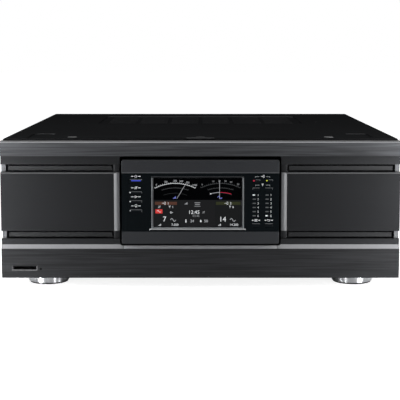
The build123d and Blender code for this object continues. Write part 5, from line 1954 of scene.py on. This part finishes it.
@dataclass
class CaseFasteners:
    """Gauze, seal and screws of the case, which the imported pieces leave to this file.

    Args:
        large_x: Places of the cover's three large screws across the case, mm.
        large_y: Their depth.
        large_top: Height of their heads above the cover.
        cross: Half the length, half the width and the height of their crosses' arms.
        cover_z: Height of the cover's top.
        side_x: Half the cover's width.
        rear_y: Depth of the rear panel's face.
        tray_z: Height of the base's under side.
        gauze_x: Inner and outer end of the gauze behind the air slots.
        gauze_y: Depth of its front.
        gauze_depth: Its own depth.
        gauze_z: Heights of the two slots' middles.
        gauze_half: Half its height.
        pleats: Number of its folds.
        pleat: Depth of a fold.
        seal_y: Depth of the foam strip's rear.
        seal_middle: Its middle, beside the case's middle and above the desk.
        seal_size: Its width and height.
        seal_depth: Its own depth.
        seal_corner: Radius of its corners.
        small: Sizes of the small screws.
        low: Sizes of the flatter screws under the case.
    """

    large_x: tuple[float, ...] = (-138.53, 0.0, 138.53)
    large_y: float = -199.0
    large_top: float = 0.5
    cross: Point3 = (2.7, 0.42, 0.02)
    cover_z: float = 161.0
    side_x: float = 211.5
    rear_y: float = 215.5
    tray_z: float = 12.0
    gauze_x: Point2 = (95.0, 206.0)
    gauze_y: float = -208.6
    gauze_depth: float = 1.0
    gauze_z: Point2 = (58.4, 130.0)
    gauze_half: float = 7.0
    pleats: int = 24
    pleat: float = 0.8
    seal_y: float = -209.3
    seal_middle: Point2 = (112.4, 158.1)
    seal_size: Point2 = (191.6, 2.6)
    seal_depth: float = 3.0
    seal_corner: float = 0.8
    small: Screw = Screw(2.6, 1.0, 1.5)
    low: Screw = Screw(2.6, 0.9, 1.5)

    def intake_gauze(self) -> None:
        """Builds dark gauze behind the front air slots, pleated along their length."""
        shape = Shape()
        start, end = self.gauze_x
        step = (end - start) / self.pleats
        near = [(start + i * step, self.gauze_y + self.pleat * (i % 2)) for i in range(self.pleats + 1)]
        far = [(x, y + self.gauze_depth) for x, y in reversed(near)]
        for side in SIDES:
            outline = [(side * x, y) for x, y in near + far][::side]
            for z in self.gauze_z:
                shape.prism(top(0.0), outline, z - self.gauze_half, z + self.gauze_half, GAUZE_BLACK)
        shape.piece("intake_gauze", Body.CASE, "grille_black")

    def edge_seal(self) -> None:
        """Builds the foam strip in the seam under the cover's front edge, each side of the release."""
        shape = Shape()
        x, z = self.seal_middle
        for side in SIDES:
            outline = rounded((side * x, z), self.seal_size, self.seal_corner)
            shape.prism(front(self.seal_y), outline, 0.0, self.seal_depth, GAUZE_BLACK)
        shape.piece("cover_seal", Body.CASE, "cover_black")

    def crosses(self) -> None:
        """Builds cross recesses of the three large screws of the cover."""
        shape = Shape()
        arm, half, height = self.cross
        quarter = [(half, half), (half, arm), (-half, arm)]
        turned = [(1, 0, 0, 1), (0, -1, 1, 0), (-1, 0, 0, -1), (0, 1, -1, 0)]
        outline = [(a * u + b * v, c * u + d * v) for a, b, c, d in turned for u, v in quarter]
        for x in self.large_x:
            spots = [(x + u, self.large_y + v) for u, v in outline]
            shape.prism(top(self.cover_z + self.large_top), spots, 0.0, height, GAUZE_BLACK)
        shape.piece("cover_screw_crosses", Body.CASE, "screw_nickel")

    def build(self, screws: ScrewTree) -> None:
        """Builds the gauze, the seal, and the black screws of the cover, base and rear.

        Args:
            screws: The tree that makes the screws.
        """
        self.intake_gauze()
        self.edge_seal()
        self.crosses()
        cover = top(self.cover_z).spots([(x, 49.0) for x in (-171, -150, 150, 171)], -0.4)
        for side in SIDES:
            rows = [(side * y, z) for y in (-196, -20, 198) for z in (27, 145)]
            cover += flank(side, self.side_x).spots(rows)
        edge = [(u, 153.0) for u in (-203, -86, 20, 120, 203)] + [(u, 17.5) for u in (-203, 0, 203)]
        edge += [(u, v) for u in (-203, 203) for v in (64.0, 108.0)]
        floor = [(x, y) for x in (-196, 0, 196) for y in (-150, 0, 150)]
        for name, places, sizes, slot in (
                ("cover_side_screws", cover, self.small, "cover_black"),
                ("rear_screws", rear(self.rear_y).spots(edge), self.small, "rear_black"),
                ("base_screws", under(self.tray_z).spots(floor), self.low, "tray_black")):
            screws.piece(name, Body.CASE, places, sizes.values(), BLACK_SCREW, slot)


@dataclass
class RearDetails:
    """Fittings and prints on the rear panel.

    Args:
        rear_y: Depth of the panel's face, mm.
        antennas: Middles of the antenna sockets, X and Z.
        inputs: Middles of the input sockets.
        earth: Middle of the earth terminal.
        round_sockets: Middles of the round control sockets.
        fans: Middles of the fans.
        network: Middle of the network socket.
        inlet: Middle of the mains inlet.
        switch: Middle of the main switch.
        flange: Side of a coaxial socket's square flange.
        flange_thickness: Its thickness.
        flange_margin: Distance of its screws from its edges.
        inlet_reach: Distance of the inlet's screws from its middle.
        inlet_thickness: Thickness of its flange.
        fan_reach: Distance of a fan's screws from its middle, level and upright.
        socket_thread: Radius, pitch, number and height of the crests on a coaxial socket's barrel.
        earth_thread: The same of the earth stud.
        socket_rise: Height of the first crest above the flange.
        earth_rise: Height of the first crest above the panel.
        pin_ring: Radius of the circle that a round socket's pins stand on.
        pin_count: How many pins.
        pin_radius: Radius of a pin.
        pin_length: Length of a pin.
        pin_rise: Height of their feet above the panel.
        spring_count: How many springs the network socket has.
        spring_pitch: Distance of the springs.
        pivot_y: Depth of the rocker's pivot.
        rocker_tilt: Tilt of the rocker at rest, degrees.
        rocker_out: Distance of its face from the pivot.
        rocker_reach: Distance of its marks from its middle.
        group: Corners of the line round the antenna and input sockets.
        bright: Sizes of the sockets' screws.
        large: Sizes of the fans' screws.
    """

    rear_y: float = 215.5
    antennas: tuple[Point2, ...] = ((-186.12, 124.0), (-186.12, 84.0), (-145.935, 124.0), (-145.935, 84.0),
                                    (-105.75, 124.0), (-105.75, 84.0))
    inputs: tuple[Point2, ...] = ((-186.12, 42.0), (-145.935, 42.0))
    earth: Point2 = (-105.75, 42.0)
    round_sockets: tuple[Point2, ...] = ((-67.68, 136.0), (-67.68, 113.0), (-33.84, 136.0), (-33.84, 113.0))
    fans: tuple[Point2, ...] = ((55.5, 61.0), (140.5, 61.0))
    network: Point2 = (-71.91, 72.0)
    inlet: Point2 = (163.91, 132.0)
    switch: Point2 = (103.635, 132.0)
    flange: float = 25.4
    flange_thickness: float = 2.0
    flange_margin: float = 3.3
    inlet_reach: float = 20.5
    inlet_thickness: float = 3.0
    fan_reach: float = 35.75
    socket_thread: tuple[float, float, int, float] = (7.84, 1.06, 13, 0.3)
    earth_thread: tuple[float, float, int, float] = (2.92, 0.8, 9, 0.22)
    socket_rise: float = 1.4
    earth_rise: float = 6.3
    pin_ring: float = 3.7
    pin_count: int = 7
    pin_radius: float = 0.55
    pin_length: float = 2.4
    pin_rise: float = 1.7
    spring_count: int = 8
    spring_pitch: float = 1.02
    pivot_y: float = 211.5
    rocker_tilt: float = 12.0
    rocker_out: float = 6.6
    rocker_reach: float = 5.6
    group: tuple[float, float, float, float] = (90.0, 202.5, 63.6, 144.8)
    bright: Screw = Screw(2.0, 1.0, 1.15)
    large: Screw = Screw(3.2, 1.6, 1.9)

    @property
    def face(self) -> Face:
        """The panel's face."""
        return rear(self.rear_y)

    def around(self, points: Iterable[Point2], reach: float) -> list[Point2]:
        """Four places round each fitting, as one looks at the panel."""
        return [(-x + u * reach, z + v * reach) for x, z in points for u, v in CORNERS]

    def fitting_screws(self, screws: ScrewTree) -> None:
        """Sets four bright screws on each square flange, two on the inlet and four on each fan.

        Args:
            screws: The tree that makes the screws.
        """
        flanges = self.around(self.antennas + self.inputs, self.flange / 2 - self.flange_margin)
        places = self.face.spots(flanges, self.flange_thickness)
        x, z = self.inlet
        places += self.face.spots([(-x + side * self.inlet_reach, z) for side in SIDES], self.inlet_thickness)
        screws.piece("socket_screws", Body.CASE, places, self.bright.values(), STEEL_SCREW, "screw_steel")
        places = self.face.spots(self.around(self.fans, self.fan_reach))
        screws.piece("fan_screws", Body.CASE, places, self.large.values(), BLACK_SCREW, "rear_black")

    def threads(self, crests: ThreadTree) -> None:
        """Sets thread crests on the barrels of the coaxial sockets and on the earth stud.

        Args:
            crests: The tree that makes the crests.
        """
        rise = self.flange_thickness + self.socket_rise
        sockets = self.face.spots([(-x, z) for x, z in self.antennas + self.inputs], rise)
        stud = self.face.spots([(-self.earth[0], self.earth[1])], self.earth_rise)
        for name, places, (radius, pitch, count, crest), slot in (
                ("socket_threads", sockets, self.socket_thread, "socket_nickel"),
                ("earth_thread", stud, self.earth_thread, "terminal_brass")):
            sizes = {"Radius": radius * MM, "Pitch": pitch * MM, "Count": count, "Crest": crest * MM}
            crests.piece(name, Body.CASE, places, sizes, NICKEL, slot)

    def contacts(self, pins: PinTree) -> None:
        """Sets the pins of the round control sockets.

        Args:
            pins: The tree that makes the pins.
        """
        places = self.face.spots([(-x, z) for x, z in self.round_sockets], self.pin_rise)
        sizes = {"Ring": self.pin_ring * MM, "Count": self.pin_count, "Radius": self.pin_radius * MM,
                 "Length": self.pin_length * MM}
        pins.piece("control_pins", Body.CASE, places, sizes, BRASS_PLATE, "contact_plated")

    def prints(self) -> None:
        """Prints socket numbers, plain symbols and a group outline."""
        shape = Shape()
        pen = Pen(shape, self.face, PRINT_WHITE)
        for sockets, icon, offset, size in (
                (self.antennas, Icon.ANTENNA, 2.4, 3.6), (self.inputs, Icon.INPUT, 1.0, 3.2)):
            for number, (x, z) in enumerate(sockets, 1):
                pen.write(str(number), (-x - 8.4, z + 16.2), 4.0)
                pen.draw(icon, (-x - offset, z + 16.2), size)
        for icon, (x, z), rise, size in (
                (Icon.EARTH, self.earth, 15.0, 5.0), (Icon.POWER, self.switch, 19.5, 4.0),
                (Icon.WAVE, self.inlet, 18.5, 4.0)):
            pen.draw(icon, (-x, z + rise), size)
        for number, (x, z) in enumerate(self.round_sockets, 1):
            pen.write(str(number), (-x - 13.0, z), 3.4)
        corners = box(*self.group)
        pen.line([corners[0], *corners[:0:-1], corners[0]], 0.4)
        shape.piece("rear_prints", Body.CASE, "rear_black")

    def rocker_marks(self) -> None:
        """Builds the on and off marks moulded on the two halves of the main switch's rocker."""
        shape = Shape()
        tilt = math.radians(self.rocker_tilt)
        pivot = Vector((self.switch[0], self.pivot_y, self.switch[1]))
        out = Vector((0.0, math.cos(tilt), math.sin(tilt)))
        up = Vector((0.0, -math.sin(tilt), math.cos(tilt)))
        for side, line in ((-1, arc((0.0, 0.0), 1.4, 0, 360, 16)), (1, [(0.0, 1.5), (0.0, -1.5)])):
            along = (up + out * side * math.tan(tilt)).normalized()
            middle = pivot + out * self.rocker_out + along * side * self.rocker_reach
            half = Face(tuple(middle), (-1.0, 0.0, 0.0), tuple(along))
            Pen(shape, half, PRINT_WHITE, (0.0, 0.04)).line(line, 0.5)
        shape.piece("rocker_marks", Body.ROCKER, "rocker_black")

    def network_contacts(self) -> None:
        """Builds gilt springs inside the network socket."""
        shape = Shape()
        x, z = self.network
        for number in range(self.spring_count):
            u = -x + (number - (self.spring_count - 1) / 2) * self.spring_pitch
            shape.prism(self.face, box(u - 0.2, u + 0.2, z - 3.9, z - 3.6), -10.0, -1.0, BRASS_PLATE)
        shape.piece("network_contacts", Body.CASE, "contact_plated")

    def build(self, screws: ScrewTree, crests: ThreadTree, pins: PinTree) -> None:
        """Builds every fitting of the rear panel.

        Args:
            screws: The tree that makes the screws.
            crests: The tree that makes the thread crests.
            pins: The tree that makes the pins.
        """
        self.fitting_screws(screws)
        self.threads(crests)
        self.contacts(pins)
        self.prints()
        self.rocker_marks()
        self.network_contacts()


# ---- studio


@dataclass(frozen=True)
class Lamp:
    """A soft rectangular lamp.

    Args:
        name: Name of the lamp.
        place: Where it stands, in metres.
        aim: The point it looks at.
        size: Its width and height in metres.
        power: Its power in watts.
        beam: Angle of its beam in degrees.
    """

    name: str
    place: Point3
    aim: Point3
    size: Point2
    power: float
    beam: float = 180.0

    def build(self) -> None:
        """Sets the lamp up, unseen by the camera."""
        data = bpy.data.lights.new(self.name, "AREA")
        data.shape = "RECTANGLE"
        data.size, data.size_y = self.size
        data.energy = self.power
        data.spread = math.radians(self.beam)
        made = bpy.data.objects.new(self.name, data)
        made.location = self.place
        made.rotation_euler = (Vector(self.aim) - Vector(self.place)).to_track_quat("-Z", "Y").to_euler()
        made.visible_camera = False
        put(made)


@dataclass
class Studio:
    """Plain pale floor, soft lights and the camera.

    Args:
        eye: Camera position in metres.
        pitch: Degrees that the camera looks down.
        lens: Focal length in mm.
        sensor: Width of the sensor in mm.
        shift: Level and upright shift of the lens.
        room: Even light of the room, linear.
        floor_half: Half the side of the floor in metres.
        shade_half: Half the side of the painted shadow under the case on the floor, which only reflections
            see, in metres.
    """

    eye: Point3 = (0.0, -1.3952, 0.2595)
    pitch: float = 5.883
    lens: float = 99.85
    sensor: float = 36.0
    shift: Point2 = (-0.001, -0.1)
    room: Colour = (0.3, 0.305, 0.315)
    floor_half: float = 9.0
    shade_half: float = 0.2

    def camera(self) -> None:
        """Sets the camera at the front, a little above the case."""
        data = bpy.data.cameras.new("camera")
        data.lens = self.lens
        data.sensor_width = self.sensor
        data.shift_x, data.shift_y = self.shift
        data.clip_start, data.clip_end = 0.05, 50.0
        made = bpy.data.objects.new("camera", data)
        made.location = self.eye
        made.rotation_euler = (math.radians(90.0 - self.pitch), 0.0, 0.0)
        put(made)
        bpy.context.scene.camera = made

    def gloss(self, graph: Graph, path: bpy.types.Node) -> Socket:
        """1 for rays that come by way of a reflection or through glass."""
        return graph.math("MAXIMUM", path.outputs["Is Glossy Ray"], path.outputs["Is Transmission Ray"])

    def world(self) -> None:
        """Lays a white background, and a weak even light for everything else."""
        made = bpy.data.worlds.new("studio")
        made.use_nodes = True
        bpy.context.scene.world = made
        graph = Graph(made.node_tree)
        path = graph.node("ShaderNodeLightPath")
        depth = graph.part(graph.node("ShaderNodeTexCoord").outputs["Generated"], 1)
        mirrored = graph.blend(graph.spread(depth, -0.9, 0.3, 0.1, 1.0), BLACK, WHITE)
        unseen = graph.blend(self.gloss(graph, path), self.room, mirrored)
        colour = graph.blend(path.outputs["Is Camera Ray"], unseen, WHITE)
        shader = made.node_tree.nodes["Background"]
        graph.join(colour, shader.inputs["Color"])
        shader.inputs["Strength"].default_value = 1.0

    def floor(self) -> None:
        """Lays a wide white floor that keeps the case's shadow."""
        mesh = bpy.data.meshes.new("floor")
        half, near = self.floor_half, self.shade_half
        mesh.from_pydata([(u, v, 0.0) for u, v in box(-half, half, -half, half)], [], [(0, 1, 2, 3)])
        made = bpy.data.objects.new("floor", mesh)
        put(made)
        material = bpy.data.materials.new("floor white")
        mesh.materials.append(material)
        coat = Coat(material)
        paper = coat.noise(coat.spot(), 3.0, 2.0)
        coat.feed("Base Color", coat.blend(paper, (0.58, 0.58, 0.585), (0.6, 0.6, 0.6)))
        coat.fix("Roughness", 0.95)
        coat.fix("Specular IOR Level", 0.1)
        path = coat.node("ShaderNodeLightPath")
        # Painted shadow: beneath the case, the floor's glow that reflections see is taken away.
        beneath = coat.times(coat.within(coat.place(0), -near, near), coat.within(coat.place(1), -near, near))
        seen = coat.blend(beneath, (0.15, 0.15, 0.15), BLACK)
        mirrored = coat.blend(self.gloss(coat, path), BLACK, seen)
        coat.feed("Emission Color", coat.blend(path.outputs["Is Camera Ray"], mirrored, (0.84, 0.84, 0.84)))
        coat.fix("Emission Strength", 1.0)

    def lamps(self) -> list[Lamp]:
        """The lamps: one above, and a small and a larger one at each side.

        Returns:
            The lamps.
        """
        lamps = [Lamp("key_top", (0.0, -0.45, 1.1), (0.0, -0.2, 0.0), (1.4, 0.9), 10.0)]
        for name, side in (("left", -1), ("right", 1)):
            near, aim = (side * 0.375, -0.39, 0.12), (side * 0.33, -0.2, 0.08)
            lamps.append(Lamp(f"side_{name}", near, aim, (0.08, 0.25), 2.05, 135.0))
            far, aim = (side * 1.12, -1.72, 0.12), (0.0, -0.2, 0.05)
            lamps.append(Lamp(f"front_{name}", far, aim, (0.17, 0.3), 6.0))
        return lamps

    def build(self) -> None:
        """Builds the studio."""
        bpy.context.scene.view_settings.view_transform = "Standard"
        self.camera()
        self.world()
        self.floor()
        for lamp in self.lamps():
            lamp.build()


def main() -> None:
    """Builds the looks in order."""
    logging.basicConfig(level=logging.INFO, format="%(name)s: %(message)s")
    Studio().build()
    PackedFinishes().apply()
    ticks, screws, crests, pins = TickTree(), ScrewTree(), ThreadTree(), PinTree()
    Display().build(ticks)
    HeadMarks().build()
    CaseFasteners().build(screws)
    RearDetails().build(screws, crests, pins)


if __name__ == "__main__":
    main()
